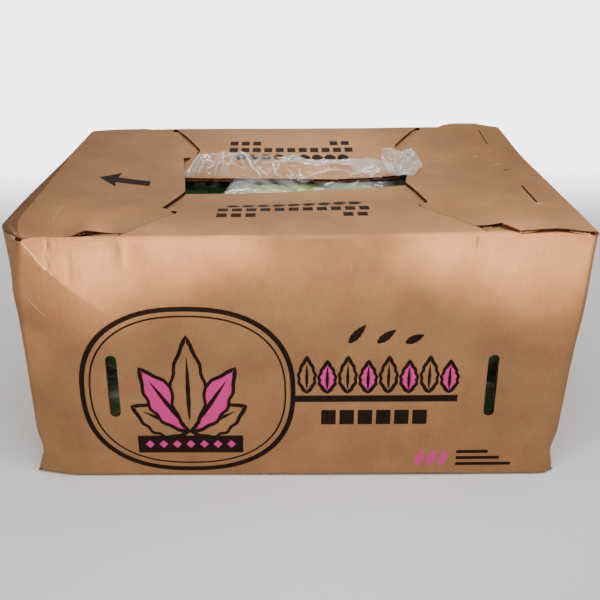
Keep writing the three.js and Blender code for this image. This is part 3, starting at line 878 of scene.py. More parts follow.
# The cut between an end flap and a long one, and each flap's side of it at the four corners.
FRONT_CUT = [(219, 204), (207, 172), (188, 168), (187.4, 200), (186, 200)]
BACK_CUT = [(213, 204), (203, 192), (178, 188), (176.4, 202), (175, 202), (172, 198)]
RIGHT_SLANT, LEFT_SLANT = [(179, 190), (129.5, 121)], [(182, 196), (136.5, 136)]
RIGHT_FRONT_CORNER = FRONT_CUT + RIGHT_SLANT + [(128.5, 117), (139.5, 106), (155, 99)]
LEFT_FRONT_CORNER = FRONT_CUT + LEFT_SLANT + [(135, 131), (151, 112), (167, 106)]
RIGHT_BACK_CORNER = BACK_CUT + [(132, 124), (133, 110), (150, 92), (166, 86)]
LEFT_BACK_CORNER = BACK_CUT + [(131.5, 114), (133, 102), (150, 84), (166, 78)]
RIGHT_FRONT_TOOTH = [(134, 129.5), (136, 122), (128, 115.5), (141, 107.5)]
LEFT_FRONT_TOOTH = [(168, 180), (143.5, 147), (141, 141), (144.5, 134.5), (134, 128.5), (154, 113.5)]
RIGHT_BACK_TOOTH = [(134, 133), (134.5, 126), (135.5, 111), (151.5, 94)]
LEFT_BACK_TOOTH = [(134, 124), (135.5, 117), (135.5, 103), (151.5, 86)]


def end_side(edge, mouth, notch, corner, tip, tooth):
    """Half of an end flap's outline, from the fold to the tip: the notch beside the long flap's
    fold, the edge tucked under the long flap's corner, the tooth, and the slope to the slot."""
    return [(HALF_LENGTH + FOLD_EXTRA, edge), (mouth, edge), (mouth - 12, notch), corner, *tooth,
            (tip, SLOT_HALF_WIDTH + 2)]


def long_side(corner):
    """Half of a long flap's outline: a strip along the fold up to the case's corner, a shoulder
    that dips under the end flap, a narrow cut, and then the corner that lies on the end flap."""
    return [(288, HALF_DEPTH + FOLD_EXTRA), (286, 207), (268, 204), *corner, (166, SLOT_HALF_WIDTH)]


def end_outline(sign, front, back):
    points = [(x, -y) for x, y in front] + [(x, y) for x, y in reversed(back)]
    return np.array(points, float) * [sign, 1]


def long_outline(sign, right, left):
    points = long_side(right) + [(-x, y) for x, y in reversed(long_side(left))]
    return np.array(points, float) * [1, sign]


front_outline = long_outline(-1, RIGHT_FRONT_CORNER, LEFT_FRONT_CORNER)
print("the front flap's outline has", len(front_outline), "points")

# %% Top flaps
def top_flap(side, outline, holes=(), prints=()):
    across_x, sign = FOLDS[side]
    half, width, level = (HALF_DEPTH, 286, long_top) if across_x else (HALF_LENGTH, HALF_DEPTH, end_top)
    place = flap_place(across_x, sign, half, FLAP_TOP - FOLD_RADIUS, FOLD_RADIUS, level)
    board(f"board_top_flap_{side}", [f"top_flap_{side}"], f"flap_{side}", outline, holes, place,
          flute=0 if across_x else 1, step=7.0,
          dense=[fold_rows(across_x, sign, half, FOLD_RADIUS, width)], prints=prints, serrated=True)


# Thin dark lines beside the front flap's corners, along the slanting cuts, are painted shadow in the gap
# there.
slant_shadow_lines = marks(CUT_EDGE_AND_SHADE, *(np.array([*slant, (slant[1][0] - 0.8, slant[1][1] + 0.6),
                                (slant[0][0] - 0.8, slant[0][1] + 0.6)]) * [sign, -1]
                      for slant, sign in ((RIGHT_SLANT, 1), (LEFT_SLANT, -1))))
top_flap("front", long_outline(-1, RIGHT_FRONT_CORNER, LEFT_FRONT_CORNER),
         prints=flap_design(-100, 1) + slant_shadow_lines)
top_flap("back", long_outline(1, RIGHT_BACK_CORNER, LEFT_BACK_CORNER), prints=flap_design(92, -1))

slits = [bar(257.6, -116, 260.0, -54), bar(258, 120, 259.4, 178),
         [(254, 7), (258, 12), (263, 13), (263, 14.4), (257, 13.4), (253, 8)]]
right_scuffs = marks(SCUFF_AND_HIGHLIGHT, [(250, 92), (262, 98), (255, 96)], [(243, 30), (262, 39), (252, 37)],
                     [(257, -124), (266, -119.5), (258.5, -116.5)], [(226, 70), (238, 73), (232, 75)])
top_flap("right", end_outline(1, end_side(HALF_DEPTH, 218.5, 176, (171, 179.5), 126.5,
                                          RIGHT_FRONT_TOOTH),
                              end_side(HALF_DEPTH, 212, 200, (169, 193), 138, RIGHT_BACK_TOOTH)),
         slits, right_scuffs)

arrow = marks(BLACK, [(-243, -4), (-219, -34), (-222, -16), (-182, -18), (-183, 2), (-222, 3),
                      (-220, 20)])
scratches = marks(SCUFF_AND_HIGHLIGHT, [(-258, -164), (-257.2, -150), (-256.6, -112), (-257.6, -132)],
                  [(-261, -140), (-260.5, -132), (-260.2, -118), (-260.9, -126)])
# A darker band along the left flap's fold is painted shade, where the board turns away from the light.
painted_fold_shade = marks(PAINTED_SHADE, [(-299, -204), (-286, -203), (-284.5, -150), (-285.5, -60), (-290, 60),
                               (-294, 130), (-299, 130)])
# A pale strip at the flap's outer edge is a painted highlight of the left wall's lit top edge.
rim = marks(SCUFF_AND_HIGHLIGHT, [(-293.6, -204), (-299, -204), (-299, -160), (-297.6, -170), (-297.2, -186)])
# A dark line beside it is painted shade in the gap between the wall's lip and the flap.
gap_shade_line = marks(CUT_EDGE_AND_SHADE, [(-291.0, -203), (-293.4, -203), (-296.8, -186), (-297.4, -172), (-296.2, -172),
                    (-294.6, -186)])
top_flap("left", end_outline(-1, end_side(203.0, 233, 191, (181, 189), 137.5, LEFT_FRONT_TOOTH),
                             end_side(204.5, 212, 200, (169, 193), 144.5, LEFT_BACK_TOOTH)),
         prints=arrow + scratches + painted_fold_shade + rim + gap_shade_line)
# The count holds the real scratches together with the painted shade and highlights on the left flap.
print("marks of wear on the left flap:", len(scratches + painted_fold_shade + rim + gap_shade_line))

# %% [markdown]
# Romaine leaves are waxy and soft-lit. The broad midrib is nearly white at the base, thin veins
# branch from it, and the blade runs from yellow-green near the heart to deep green at the waved
# margin, with blisters about a centimetre across. The graph reads a leaf's own coordinates:
# how far along it a point lies, how far across, and how far out the leaf sits on the head.

# %% Leaf and stem materials
LEAF_GREENS = [(0, "#c6cb96"), (0.3, "#9dab6c"), (0.55, "#6c8b48"), (0.78, "#457030"), (1, "#2f5a1e")]


def leaf_material(name):
    material, add = new_material(name)
    place = add("Attribute", {"attribute_name": "leaf_place"}).outputs["Vector"]
    along, across, outer = add("SeparateXYZ", Vector=place).outputs
    point = add("TexCoord").outputs["Object"]
    # Patches about 45 mm wide, and blisters of 9 mm.
    patches = add("TexNoise", Vector=point, Scale=22.0, Detail=3.0)
    blisters = add("TexVoronoi", {"feature": "SMOOTH_F1"}, Vector=point, Scale=110.0,
                   Smoothness=0.6)
    aside = add("Math", {"operation": "ABSOLUTE"}, i0=across)
    green = 0.0
    for cause, share in ((along, 0.45), (aside, 0.30), (outer, 0.30), (patches, 0.30)):
        green = add("Math", MULTIPLY_ADD, i0=cause, i1=share, i2=green)
    blade = add("MapRange", Value=green, From_Min=0.15, From_Max=1.15)
    blade = add("ValToRGB", {"stops": LEAF_GREENS}, Fac=blade)
    rib_reach = add("MapRange", Value=along, To_Min=0.22, To_Max=0.03)
    rib = add("Math", {"operation": "DIVIDE"}, i0=aside, i1=rib_reach)
    rib = add("MapRange", Value=rib, From_Min=1.25, From_Max=0.7)
    slant = add("Math", MULTIPLY_ADD, i0=aside, i1=-0.35, i2=along)
    branch = add("Math", {"operation": "PINGPONG"}, i0=slant, i1=0.045)
    vein = add("MapRange", Value=branch, From_Min=0.006, From_Max=0.0, To_Max=0.55)
    veined = add("Mix", COLOUR_MIX, Factor=vein, i6=blade, i7="#b0bd88")
    ribbed = add("Mix", COLOUR_MIX, Factor=rib, i6=veined.outputs[2], i7="#e4ebc8")
    height = add("Math", MULTIPLY_ADD, i0=blisters, i1=-1.0,
                 i2=add("Math", MULTIPLY, i0=vein, i1=-0.5))
    bump = add("Bump", Strength=0.5, Distance=0.002, Height=height)
    gloss = add("MapRange", Value=patches, To_Min=0.32, To_Max=0.5)
    add("OutputMaterial", Surface=add("BsdfPrincipled", Base_Color=ribbed.outputs[2],
                                      Roughness=gloss, Normal=bump, IOR=1.45))
    return material


def stem_material(name):
    """The cut end of a stem is pale and wet, and rusts in spots about 8 mm wide."""
    material, add = new_material(name)
    point = add("TexCoord").outputs["Object"]
    rust = add("TexNoise", Vector=point, Scale=120.0, Detail=4.0)
    tone = add("ValToRGB", {"stops": [(0.5, "#e9ecd2"), (0.7, "#b5825a")]}, Fac=rust)
    bump = add("Bump", Strength=0.3, Distance=0.001, Height=rust)
    add("OutputMaterial", Surface=add("BsdfPrincipled", Base_Color=tone, Roughness=0.45,
                                      Normal=bump))
    return material


leaf_green = leaf_material("romaine_leaf_waxy")
stem_cut = stem_material("romaine_stem_cut")
print("lettuce materials:", leaf_green.name, stem_cut.name)

# %% [markdown]
# Each head lies along the case with its cut stem at the end wall. Leaves are thin closed shells:
# a grid of points wraps round the heart, each leaf a little further out than the last and turned
# by the golden angle, with a thick rib down its back, a waved margin and a rounded tip. The heads
# of the top layer can be seen through the slot, so they get more leaves and finer grids.

# %% Leaf shells
GOLDEN_ANGLE = math.radians(137.5)
LEAF_THICKNESS = 0.8
SOFT_EDGE = 75  # degrees; a leaf's rim is only shaded sharp where it turns by more than this


def shell_faces(rows, columns, start):
    """Faces of a closed thin shell between an outer and an inner grid of points."""
    def corners(base, *spots):
        return [base + i * columns + j for i, j in spots]

    inner = start + rows * columns
    faces = []
    for i in range(rows - 1):
        for j in range(columns - 1):
            cell = [(i, j), (i + 1, j), (i + 1, j + 1), (i, j + 1)]
            faces += [corners(start, *cell), corners(inner, cell[0], *cell[:0:-1])]
    rim = ([(0, j) for j in range(columns - 1)] + [(i, columns - 1) for i in range(rows - 1)]
           + [(rows - 1, j) for j in range(columns - 1, 0, -1)] + [(i, 0) for i in range(rows - 1, 0, -1)])
    for here, there in zip(rim, rim[1:] + rim[:1]):
        faces.append(corners(start, here, there) + corners(inner, there, here))
    return faces


def romaine_leaf(random, length, layer, facing, rows, columns):
    """Grid points of one leaf round a head's axis, outer side and inner side."""
    across, along = np.meshgrid(np.linspace(-1, 1, columns), np.linspace(0, 1, rows))
    swell = 10 + 34 * np.sin(np.pi * 0.80 * along) ** 0.75
    half = math.radians(62 - 6 * layer) * (0.45 + 0.55 * np.sin(np.pi * (0.08 + 0.74 * along)))
    phase, waves = random.uniform(0, 6.3), random.uniform(5.5, 8)
    wave = (5.5 * np.abs(across) ** 2.5 * np.sin(waves * 2 * np.pi * along / 2 + phase)
            * np.sin(waves * 5.1 * along + 2 * phase))
    fine = 1.6 * np.sin(31 * along + 4 * across + phase) * np.sin(9 * across + 17 * along)
    radius = swell * (0.45 + 0.55 * layer) + 4.0 * across + wave + fine
    radius = radius + 5.0 * layer * across ** 2 * smooth(0.4, 0.9, along)
    rib = 3.2 * np.exp(-(across / 0.12) ** 2) * (1 - 0.8 * along)
    angle = facing + across * half
    reach = length * random.uniform(0.90, 1.0) * (0.86 + 0.14 * layer)
    back = 3 + along * (reach - 6) - 30 * along ** 3 * across ** 2 + 2.0 * np.sin(9 * across) * along
    sides = [np.stack([length / 2 - back, grown * np.cos(angle), grown * np.sin(angle)], -1)
             for grown in (np.maximum(radius + rib, 1.0), np.maximum(radius - LEAF_THICKNESS, 1.0))]
    place = np.stack([along, across, np.full_like(along, layer)], -1)
    return np.reshape(sides, (-1, 3)), np.reshape([place, place], (-1, 3))


print("leaf blades are", LEAF_THICKNESS, "mm thick")

# %% Lettuce heads
STEM_PROFILE = [(0, 0), (12, 0), (14, 2), (17, 16), (20, 60), (12, 120), (0, 130)]
STEM_SIDES = 14
DETAIL_ON_TOP, DETAIL_BELOW = (13, 26, 15), (7, 12, 9)  # leaves, and the rows and columns of each
FIRST_SEED = 100


def stem_shape(length):
    """The short solid stem, cut flat at the end."""
    points, faces = [], []
    for radius, back in STEM_PROFILE:
        radius = max(radius, 0.01)
        for k in range(STEM_SIDES):
            turn = 2 * math.pi * k / STEM_SIDES
            points.append((length / 2 - back, radius * math.cos(turn), radius * math.sin(turn)))
    for start in range(0, len(points) - STEM_SIDES, STEM_SIDES):
        for k in range(STEM_SIDES):
            a, b = start + k, start + (k + 1) % STEM_SIDES
            faces.append([a, a + STEM_SIDES, b + STEM_SIDES, b])
    return np.array(points), faces


def sunk(points):
    """Heads settle away from the slot: deeply at its two ends, a little under its middle."""
    x, y, z = points.T
    near = np.exp(-((y + 6) / 34) ** 4) * smooth(180, 262, z)
    points[:, 2] -= near * 11 * smooth(-100, -84, x) * (1 - smooth(96, 120, x))
    deep = 35 * np.exp(-((x + 122) / 34) ** 4) + 26 * np.exp(-((x - 122) / 26) ** 4)
    points[:, 2] -= deep * np.exp(-((y - 20) / 76) ** 4) * smooth(170, 262, z)
    return points


def romaine_head(name, node, seed, leaves, rows, columns):
    random = np.random.default_rng(seed)
    low, high = box_mm(node)
    middle, size = (low + high) / 2, high - low
    points, faces = stem_shape(size[0])
    place = np.zeros_like(points)
    stem_faces = len(faces)
    for k in range(leaves):
        layer = ((k + 1) / leaves) ** 0.8
        facing = k * GOLDEN_ANGLE + random.uniform(-0.25, 0.25)
        faces += shell_faces(rows, columns, len(points))
        leaf_points, leaf_place = romaine_leaf(random, size[0], layer, facing, rows, columns)
        points, place = np.concatenate([points, leaf_points]), np.concatenate([place, leaf_place])
    points -= (points.max(0) + points.min(0)) / 2
    points *= size / (points.max(0) - points.min(0))
    if middle[0] < 0:
        points *= [-1, -1, 1]
    head = make_piece(name, worn(sunk(points + middle)), faces, [leaf_green, stem_cut],
                      [1] * stem_faces + [0] * (len(faces) - stem_faces), {"leaf_place": place},
                      SOFT_EDGE)
    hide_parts(node)
    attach(head, "case")
    return len(faces)


head_nodes = sorted(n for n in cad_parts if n.startswith("lettuce_head_"))
head_tops = [box_mm(node)[1][2] for node in head_nodes]
faces_made = 0
for number, (node, top) in enumerate(zip(head_nodes, head_tops)):
    detail = DETAIL_ON_TOP if top > max(head_tops) - 20 else DETAIL_BELOW
    faces_made += romaine_head(f"romaine_{number + 1:02d}", node, FIRST_SEED + number, *detail)
print(f"{len(head_nodes)} heads, {faces_made} faces")

# %% Loose leaves under the slot
def loose_leaf(name, x0, x1, y0, y1, level, ripples, along, across, outer):
    """A leaf that lies under the slot, folded across its length like a fan."""
    rows, columns = 64, 110
    x, y = np.meshgrid(np.linspace(x0, x1, columns), np.linspace(y0, y1, rows))
    y = y + 3 * np.sin(x / 9)
    x = x + (0.42 * (y + 28) + 2.5 * np.sin(y / 6)) * (x1 - x) / (x1 - x0)
    slant = x + 0.9 * y
    z = level - 7 * (np.abs(2 * x - x0 - x1) / (x1 - x0)) ** 4
    for length, height in ripples:
        z = z + height * (4 * np.abs((slant / length + 0.1 * np.sin(y / 7)) % 1 - 0.5) - 1)
    upper = np.stack([x, y, z], -1).reshape(-1, 3)
    place = np.stack([along + 0.10 * np.sin(slant / 5), across + 0.2 * np.sin(slant / 13),
                      np.full_like(slant, outer)], -1).reshape(-1, 3)
    leaf = make_piece(name, worn(np.concatenate([upper, upper - [0, 0, LEAF_THICKNESS]])),
                      shell_faces(rows, columns, 0), [leaf_green],
                      attributes={"leaf_place": np.concatenate([place, place])}, sharp=SOFT_EDGE)
    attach(leaf, "case")


loose_leaf("romaine_leaf_pale", -92, 34, -36, 60, 257, ((31, 2.0), (9.3, 0.9)), 0.36, 0.7, 0.2)
# The two darkest leaves at the slot's ends are painted shade: they stand in for the deep shade there.
loose_leaf("romaine_leaf_painted_shade_left", -160, -84, -34, 84, 234, ((22, 4.0), (7, 1.2)), 1.3, 1.6, 1.6)
loose_leaf("romaine_leaf_painted_shade_right", 92, 150, -34, 84, 246, ((19, 3.0), (7, 1.0)), 1.1, 1.5, 1.3)
print("loose leaves: 3")

# %% [markdown]
# The liner is low-density polyethylene film, about 0.05 mm thick: clear, glossy and crumpled. Real
# film is nearly invisible face on and turns milky where it is seen edge on or creased, so its
# opacity follows the angle of view and the creases. The white it gains edge on is partly its own haze
# and partly painted sheen, and along creases and folds it is painted highlight. It reflects like any
# plastic, IOR 1.5. An attribute of the sheet says how much film lies doubled or creased at a point,
# and where painted glints lie.

# %% Film material
def film_material(name, clear, milky, crease_shows):
    material, add = new_material(name)
    point = add("TexCoord").outputs["Object"]
    # Creases run round facets about 18 mm wide and show only in patches of about 33 mm, as painted
    # highlights.
    warp = add("TexNoise", Vector=point, Scale=18.0, Detail=2.0)
    bent = add("Mix", {"data_type": "VECTOR"}, Factor=0.03, i4=point, i5=warp.outputs[1])
    crease = add("TexVoronoi", {"feature": "DISTANCE_TO_EDGE"}, Vector=bent.outputs[1], Scale=55.0)
    line = add("MapRange", Value=crease, From_Min=0.035, From_Max=0.0)
    where = add("TexNoise", Vector=point, Scale=30.0, Detail=1.0)
    where = add("MapRange", Value=where, From_Min=0.5, From_Max=0.62)
    line = add("Math", MULTIPLY, i0=line, i1=where)
    # Whiter towards edge-on views: partly the film's own haze, partly a painted sheen in place of its
    # reflection.
    facing = add("LayerWeight", Blend=0.3).outputs["Facing"]
    opacity = add("MapRange", Value=facing, From_Min=0.35, To_Min=clear, To_Max=milky)
    opacity = add("Math", MULTIPLY_ADD, i0=line, i1=crease_shows, i2=opacity)
    fold = add("Attribute", {"attribute_name": "film_fold"}).outputs["Fac"]
    opacity = add("Math", {"operation": "ADD", "use_clamp": True}, i0=fold, i1=opacity)
    bump = add("Bump", Strength=0.5, Distance=0.001, Height=crease)
    add("OutputMaterial", Surface=add("BsdfPrincipled", Base_Color="#dcdedb", Roughness=0.12,
                                      IOR=1.5, Alpha=opacity, Normal=bump, Specular_IOR_Level=1.0,
                                      Coat_Weight=1.0, Coat_Roughness=0.04))
    return material


clear_film = film_material("ldpe_film_clear", clear=0.03, milky=0.36, crease_shows=0.16)
print("film material:", clear_film.name)

# %% [markdown]
# Crumpled film is made of flat facets that meet in sharp ridges. A sum of tent-shaped waves in
# random directions, each bent by a slower wave, gives such facets from a formula. Where film is
# pulled, long thin folds run along the pull and catch the light: a streak is one such fold, drawn
# between two points. It raises the film, and it paints the fold's glint as whiter, thicker film.

# %% Crumpling and streaks
def crumple(a, b, random, longest, count, amount, lean=None):
    """A sum of tent-shaped waves over (a, b), each shorter and lower than the one before."""
    height = np.zeros_like(a, dtype=float)
    for k in range(count):
        turn = random.uniform(0, math.pi) if lean is None else lean + random.normal(0, 0.5)
        length = longest / (1 + 0.55 * k) * random.uniform(0.8, 1.2)
        ahead = a * math.cos(turn) + b * math.sin(turn)
        aside = b * math.cos(turn) - a * math.sin(turn)
        phase = ahead / length + random.uniform(0, 1)
        phase = phase + 0.35 * np.sin(aside / length * 2.2 + random.uniform(0, 6.3))
        height += amount / (1 + 0.55 * k) * (4 * np.abs(phase % 1 - 0.5) - 1)
    return height


def streak(a, b, start, end, width, bow=0.0):
    """How strongly a fold from start to end shows at (a, b), from 0 to 1, as height and as a painted
    glint.
    """
    start, end = np.array(start, float), np.array(end, float)
    length = np.linalg.norm(end - start)
    ahead = (end - start) / length
    t = ((a - start[0]) * ahead[0] + (b - start[1]) * ahead[1]) / length
    aside = (b - start[1]) * ahead[0] - (a - start[0]) * ahead[1]
    aside = aside - bow * 4 * capped(t) * (1 - capped(t))
    return np.exp(-np.abs(aside / width) ** 1.5) * capped(1 - (2 * t - 1) ** 4)


def loose_streaks(a, b, random, count, box, lean, spread, reach, width, strength):
    """Streaks strewn over a box: where they lie, how far they lean and reach, and how strongly their
    painted glints show.
    """
    fold = np.zeros_like(a, dtype=float)
    for _ in range(count):
        middle = np.array([random.uniform(box[0], box[2]), random.uniform(box[1], box[3])])
        turn = lean + random.normal(0, spread)
        half = random.uniform(0.5, 1.0) * reach / 2 * np.array([math.cos(turn), math.sin(turn)])
        fold = np.maximum(fold, random.uniform(0.4, 1.0) * strength
                          * streak(a, b, middle - half, middle + half,
                                   width * random.uniform(0.7, 1.4), random.normal(0, 3)))
    return fold


print("ready: crumple, streak, loose_streaks")

# %% Sheets of film
def film_grid(name, points, fold, holes=None, sharp=180):
    """A sheet from a grid of points, left open wherever holes is true."""
    index = np.arange(points[..., 0].size).reshape(points.shape[:2])
    corners = [(slice(-1), slice(-1)), (slice(1, None), slice(-1)), (slice(1, None), slice(1, None)),
               (slice(-1), slice(1, None))]
    faces = np.stack([index[corner] for corner in corners], -1)
    if holes is not None:
        faces = faces[~np.logical_or.reduce([holes[corner] for corner in corners])]
    used, faces = np.unique(faces.reshape(-1, 4), return_inverse=True)
    piece = make_piece(name, points.reshape(-1, 3)[used], faces.reshape(-1, 4).tolist(), [clear_film],
                       attributes={"film_fold": fold.ravel()[used]}, sharp=sharp)
    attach(piece, "case")
    return piece


def grid_area(points):
    across, along = np.diff(points, axis=0)[:, :-1], np.diff(points, axis=1)[:-1]
    return float(np.linalg.norm(np.cross(across, along), axis=-1).sum()) * MM * MM


def worn_grid(points):
    return worn(points.reshape(-1, 3)).reshape(points.shape)


print("ready: film_grid, grid_area, worn_grid")

# %% [markdown]
# The liner's mouth comes up through the slot, over the toothed edge of the back flap, and lies
# back on that flap with a doubled hem. Its left end is a round puff, and at its right end the film
# is gathered into a pleated tuft. When the flaps open, the real film is pushed down and back, so
# it flattens then. The sheet starts as a smooth surface over the hem's outline.

# %% The liner's mouth, smooth
mouth_random = np.random.default_rng(5)
MOUTH_LEFT, MOUTH_RIGHT = -144.5, 137.0
HEM = [(-144.5, 10), (-143, 54), (-139, 72), (-131, 88), (-122, 97), (-110, 99), (-64, 98), (2, 89),
       (68, 83), (92, 91), (110, 80), (137, 58)]
# Up through the slot, and then over the back flap: the share of the way to the hem, the height
# above the flap, and the part of the puff that is added there.
IN_SLOT = [(-27, 262.5), (-8, 259.5), (10, 262), (22, 268)]
ON_FLAP = [(0, 2.0, 0.3), (0.15, 3.0, 0.8), (0.6, 4.0, 1.0), (0.9, 4.0, 0.8), (1, 1.2, 0)]
STATIONS = [0, 0.12, 0.22, 0.30, 0.36, 0.46, 0.72, 0.9, 1.0]
SLOT_EDGE = 30
SMOOTHING = 7
columns, rows = 300, 200
x = np.linspace(MOUTH_LEFT, MOUTH_RIGHT, columns)
hem_y = np.interp(x, *zip(*HEM))
hem_y = np.convolve(np.pad(hem_y, 6, mode="edge"), np.ones(13) / 13, mode="valid")
share = np.linspace(0, 1, rows)
mouth = np.zeros((rows, columns, 3))
for i, (at_x, reach) in enumerate(zip(x, hem_y)):
    puff = 6.0 * (1 - smooth(-120, -30, at_x))
    over = [(SLOT_EDGE + part * (reach - SLOT_EDGE), lift + puff * puffed)
            for part, lift, puffed in ON_FLAP]
    y_at, z_at = zip(*IN_SLOT, *((y, long_top(at_x, y) + lift) for y, lift in over))
    mouth[:, i] = np.stack([np.full(rows, at_x), np.interp(share, STATIONS, y_at),
                            np.interp(share, STATIONS, z_at)], 1)
for _ in range(2):
    padded = np.pad(mouth, ((SMOOTHING // 2,) * 2, (0, 0), (0, 0)), mode="edge")
    mouth = sum(padded[k:k + rows] * (1 / SMOOTHING) for k in range(SMOOTHING))
flat_x, flat_y = mouth[..., 0].copy(), mouth[..., 1].copy()
print(f"mouth {MOUTH_RIGHT - MOUTH_LEFT:.1f} mm long, {rows} x {columns} points")

# %% Its folds and puckers
# Each fold: from, to, its width, how strongly its painted glint shows and how far it bows.
PULLED_FOLDS = (
    ((-78, 92), (-48, 24), 1.0, 0.85, 3), ((-72, 88), (-42, 26), 0.7, 0.5, 5),
    ((-68, 84), (-56, 52), 0.8, 0.5, 0), ((-32, 72), (-24, 28), 0.9, 0.65, -4),
    ((-26, 66), (-34, 40), 1.2, 0.40, 4), ((-18, 50), (-8, 30), 1.0, 0.50, 5),
    ((2, 58), (8, 26), 1.0, 0.45, -3), ((10, 32), (72, 46), 1.1, 0.60, 6),
    ((24, 42), (44, 52), 1.0, 0.45, 3), ((54, 44), (66, 36), 0.9, 0.65, 4),
    ((62, 32), (98, 38), 1.3, 0.55, 5), ((-92, 96), (-72, 60), 1.6, 0.30, 4),
    ((-140, 18), (-124, 94), 1.1, 0.50, 5), ((-134, 20), (-116, 92), 1.6, 0.30, 6),
    ((-127, 22), (-106, 94), 1.1, 0.42, 7), ((-117, 22), (-94, 92), 1.8, 0.24, 7),
    ((-106, 24), (-84, 90), 1.1, 0.36, 6), ((-92, 26), (-76, 80), 1.4, 0.22, 5))


def puckered(*size, **lean):
    return crumple(flat_x, flat_y, mouth_random, *size, **lean)


def strewn(count, box, *look):
    return loose_streaks(flat_x, flat_y, mouth_random, count, box, *look)


puckers = puckered(60, 3, 1.6, lean=0.35)
puckers += puckered(22, 3, 0.4)
# Long folds raise the film, and the same values paint pale glints along them.
long_folds_and_glints = np.maximum.reduce(
    [strength * streak(flat_x, flat_y, start, end, width, bow)
     for start, end, width, strength, bow in PULLED_FOLDS]
    + [strewn(26, (-142, 10, -88, 96), 1.9, 0.45, 34, 0.7, 0.42),
       strewn(16, (-80, 20, 110, 90), -0.9, 0.7, 24, 0.7, 0.42)])
outside_slot = smooth(0.32, 0.5, share)[:, None]
mouth[..., 2] += puckers * (0.6 + 0.6 * outside_slot) + 1.6 * long_folds_and_glints
mouth[..., 1] += 0.6 * puckered(30, 3, 1.2)
resting = long_top(mouth[..., 0], mouth[..., 1]) + 0.9
lifted = (mouth[..., 1] > SLOT_EDGE - 1) & (mouth[..., 2] < resting)
mouth[..., 2] = np.where(lifted, resting, mouth[..., 2])
print(f"{lifted.mean():.0%} of the mouth rests on the lid")

# %% How thick the film shows, and where glints are painted on it
from_hem = hem_y[None, :] - flat_y
hem_band = (1 - smooth(17, 20, from_hem)) * smooth(-34, -18, flat_x) * (1 - smooth(78, 86, flat_x))
hem_band *= 0.22 + 0.14 * np.abs(crumple(flat_x * 0.25, flat_y, mouth_random, 9, 2, 1.0))
rim = 0.42 * np.exp(-(from_hem / 1.1) ** 2)
rim += 0.30 * np.exp(-((from_hem - 18.5) / 0.9) ** 2) * (hem_band > 0.02)
hazy_fold = 0.26 * smooth(0, 10, flat_x - 78 + 0.45 * (flat_y - 30)) * outside_slot
haze = 0.05 * (1 - smooth(-112, -60, flat_x)) * smooth(20, 60, flat_y)
fogged = 0.24 * np.exp(-((flat_x + 80 - 0.42 * flat_y + 3 * np.sin(flat_y / 5)) / 14) ** 4)
fogged += (0.13 * smooth(-76, -62, flat_x) * (1 - smooth(2, 16, flat_x))
           * (1 + 0.5 * np.sin((flat_x + 1.2 * flat_y) / 4.5)))
clear_ends = 0.75 * (1 - smooth(-104, -92, flat_x - 0.42 * flat_y)) + 0.6 * smooth(102, 112, flat_x)
clear_ends += 0.06 * smooth(-76, -66, flat_x) + 0.06 * smooth(10, 30, flat_x)
on_lid = np.maximum.reduce([long_folds_and_glints, hem_band, rim, hazy_fold]) + haze
in_slot = 1 - smooth(20, 31, flat_y)
# In the slot, the strewn streaks are painted glints and the fogged part is the film's haze.
glints_and_haze_in_slot = np.maximum.reduce([strewn(34, (14, -26, 108, 22), 0.1, 0.5, 26, 1.0, 0.9),
                               strewn(16, (-72, -26, 16, 22), -0.7, 0.25, 30, 0.7, 0.55), fogged])
liner_mouth = film_grid("film_mouth", mouth,
                        on_lid * (1 - in_slot) + in_slot * (glints_and_haze_in_slot - clear_ends))
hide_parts("liner_mouth")
print("film_fold of the mouth: hem up to", round(float(hem_band.max()), 2), "and fogged part up to",
      round(float(fogged.max()), 2))

# %% The pleated tuft
GATHER = np.array([122.0, 10.0, 277.0])
# The tuft's edge, as its distance from the gather at each turn in radians.
TUFT_EDGE = [(-0.7, 17), (0.08, 24), (0.68, 45), (1.08, 66), (1.25, 82), (1.37, 84), (1.49, 71),
             (1.59, 79), (1.66, 91), (1.75, 66), (1.93, 37), (2.2, 14)]
TUFT_SHARP = 28
turns, outward = np.meshgrid(np.linspace(-0.7, 2.2, 160), np.linspace(0, 1, 56))
edge = np.interp(turns, *zip(*TUFT_EDGE)) * (1 + 0.02 * np.sin(turns * 31))
rise = np.minimum(1, edge / 60)
pleats = crumple(turns * 40, 0 * turns, mouth_random, 15, 3, 1.0)
spray = crumple(turns * 60 * (0.3 + outward), 60 * outward, mouth_random, 64, 3, 3.2)
tuft = np.stack([GATHER[0] + outward * edge * np.cos(turns) + 0.4 * spray * outward * rise,
                 GATHER[1] + outward * edge * np.sin(turns),
                 GATHER[2] + rise * (16 * np.sin(np.pi * 0.62 * outward)
                                     + 2.0 * pleats * outward ** 0.6
                                     + spray * (0.3 + 0.6 * outward))], -1)
ground = np.maximum(long_top(*tuft[..., :2].T).T, end_top(*tuft[..., :2].T).T) + 0.9
tuft[..., 2] = np.maximum(tuft[..., 2], ground)
# Streaks strewn over the tuft and its pleat ridges are painted glints.
tuft_fold_and_glints = loose_streaks(turns * 60, 90 * outward, mouth_random, 60, (-42, 0, 132, 90), 1.5, 0.5, 40,
                          0.6, 0.55)
tuft_fold_and_glints = np.maximum(tuft_fold_and_glints, 0.6 * smooth(0.975, 1.0, outward)) + 0.16 + 0.10 * (pleats > 0.2)
liner_tuft = film_grid("film_tuft", tuft, tuft_fold_and_glints, sharp=TUFT_SHARP)
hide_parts("liner_mouth")
for piece in (liner_mouth, liner_tuft):
    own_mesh(piece)
print("film areas", round(grid_area(mouth), 4), round(grid_area(tuft), 4))

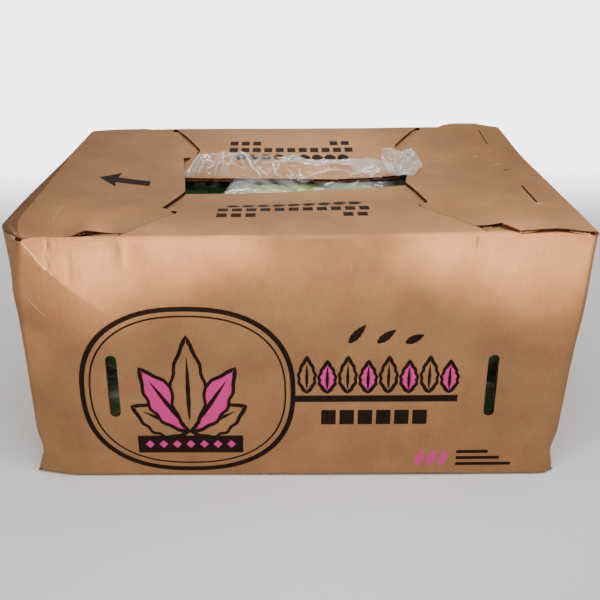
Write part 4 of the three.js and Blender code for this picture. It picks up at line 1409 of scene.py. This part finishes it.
# %% [markdown]
# Inside the case the same film wraps the heads. Over the top layer it sinks between the heads, and
# under the slot's left half it is open, where the mouth was pulled out; against the walls it hangs
# in soft creases.

# %% The liner over the heads
bag_low, bag_high = box_mm("liner_bag")
bag_random = np.random.default_rng(9)
HEAD_COLUMNS = 4
SINK_BETWEEN_HEADS = 13
x, y = np.meshgrid(np.linspace(bag_low[0], bag_high[0], 260), np.linspace(bag_low[1], bag_high[1], 180))
between = np.abs((y - bag_low[1]) / ((bag_high[1] - bag_low[1]) / HEAD_COLUMNS) % 1 - 0.5) * 2
z = (bag_high[2] - 0.6 - SINK_BETWEEN_HEADS * between ** 3
     - 1.6 * np.abs(crumple(x, y, bag_random, 60, 4, 1.0)))
# The streaks and the pale band on the right of the film over the heads are painted glints.
top_painted_glints = np.maximum(loose_streaks(x, y, bag_random, 26, (20, -50, 125, 0), 0.25, 0.25, 60, 1.1, 0.6),
                      0.22 * smooth(20, 45, x) * (1 - smooth(95, 125, x)) * (np.abs(y) < 60))
pulled_out = (x > -150) & (x < 22 + 6 * np.sin(y / 7)) & (y > -70) & (y < 34)
top_sheet = np.stack([x, y, z], -1)
film_top = film_grid("film_over_heads", worn_grid(top_sheet), top_painted_glints, holes=pulled_out)
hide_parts("liner_bag")
print("film over the heads:", top_sheet.shape[:2], "points,", int(pulled_out.sum()), "pulled out")

# %% The liner round the heads
ring = resampled(oval(0, 0, bag_high[0], bag_high[1], power=16), 6.0)
ring = np.concatenate([ring, ring[:1]])
run = np.concatenate([[0], np.cumsum(np.linalg.norm(np.diff(ring, axis=0), axis=1))])
run, heights = np.meshgrid(run, np.linspace(bag_high[2] - 1.5, bag_low[2], 40))
fold = np.abs(crumple(run, heights * 0.4, bag_random, 60, 4, 0.8))
shrink = 1 - (0.2 + np.minimum(fold, 3.0)) / bag_high[1]
side_sheet = np.stack([ring[:, 0] * shrink, ring[:, 1] * shrink, heights], -1)
side_sheet[:, -1] = side_sheet[:, 0]
film_sides = film_grid("film_round_heads", worn_grid(side_sheet), np.zeros_like(fold))
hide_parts("liner_bag")
print("film inside", round(grid_area(top_sheet), 4), round(grid_area(side_sheet), 4))
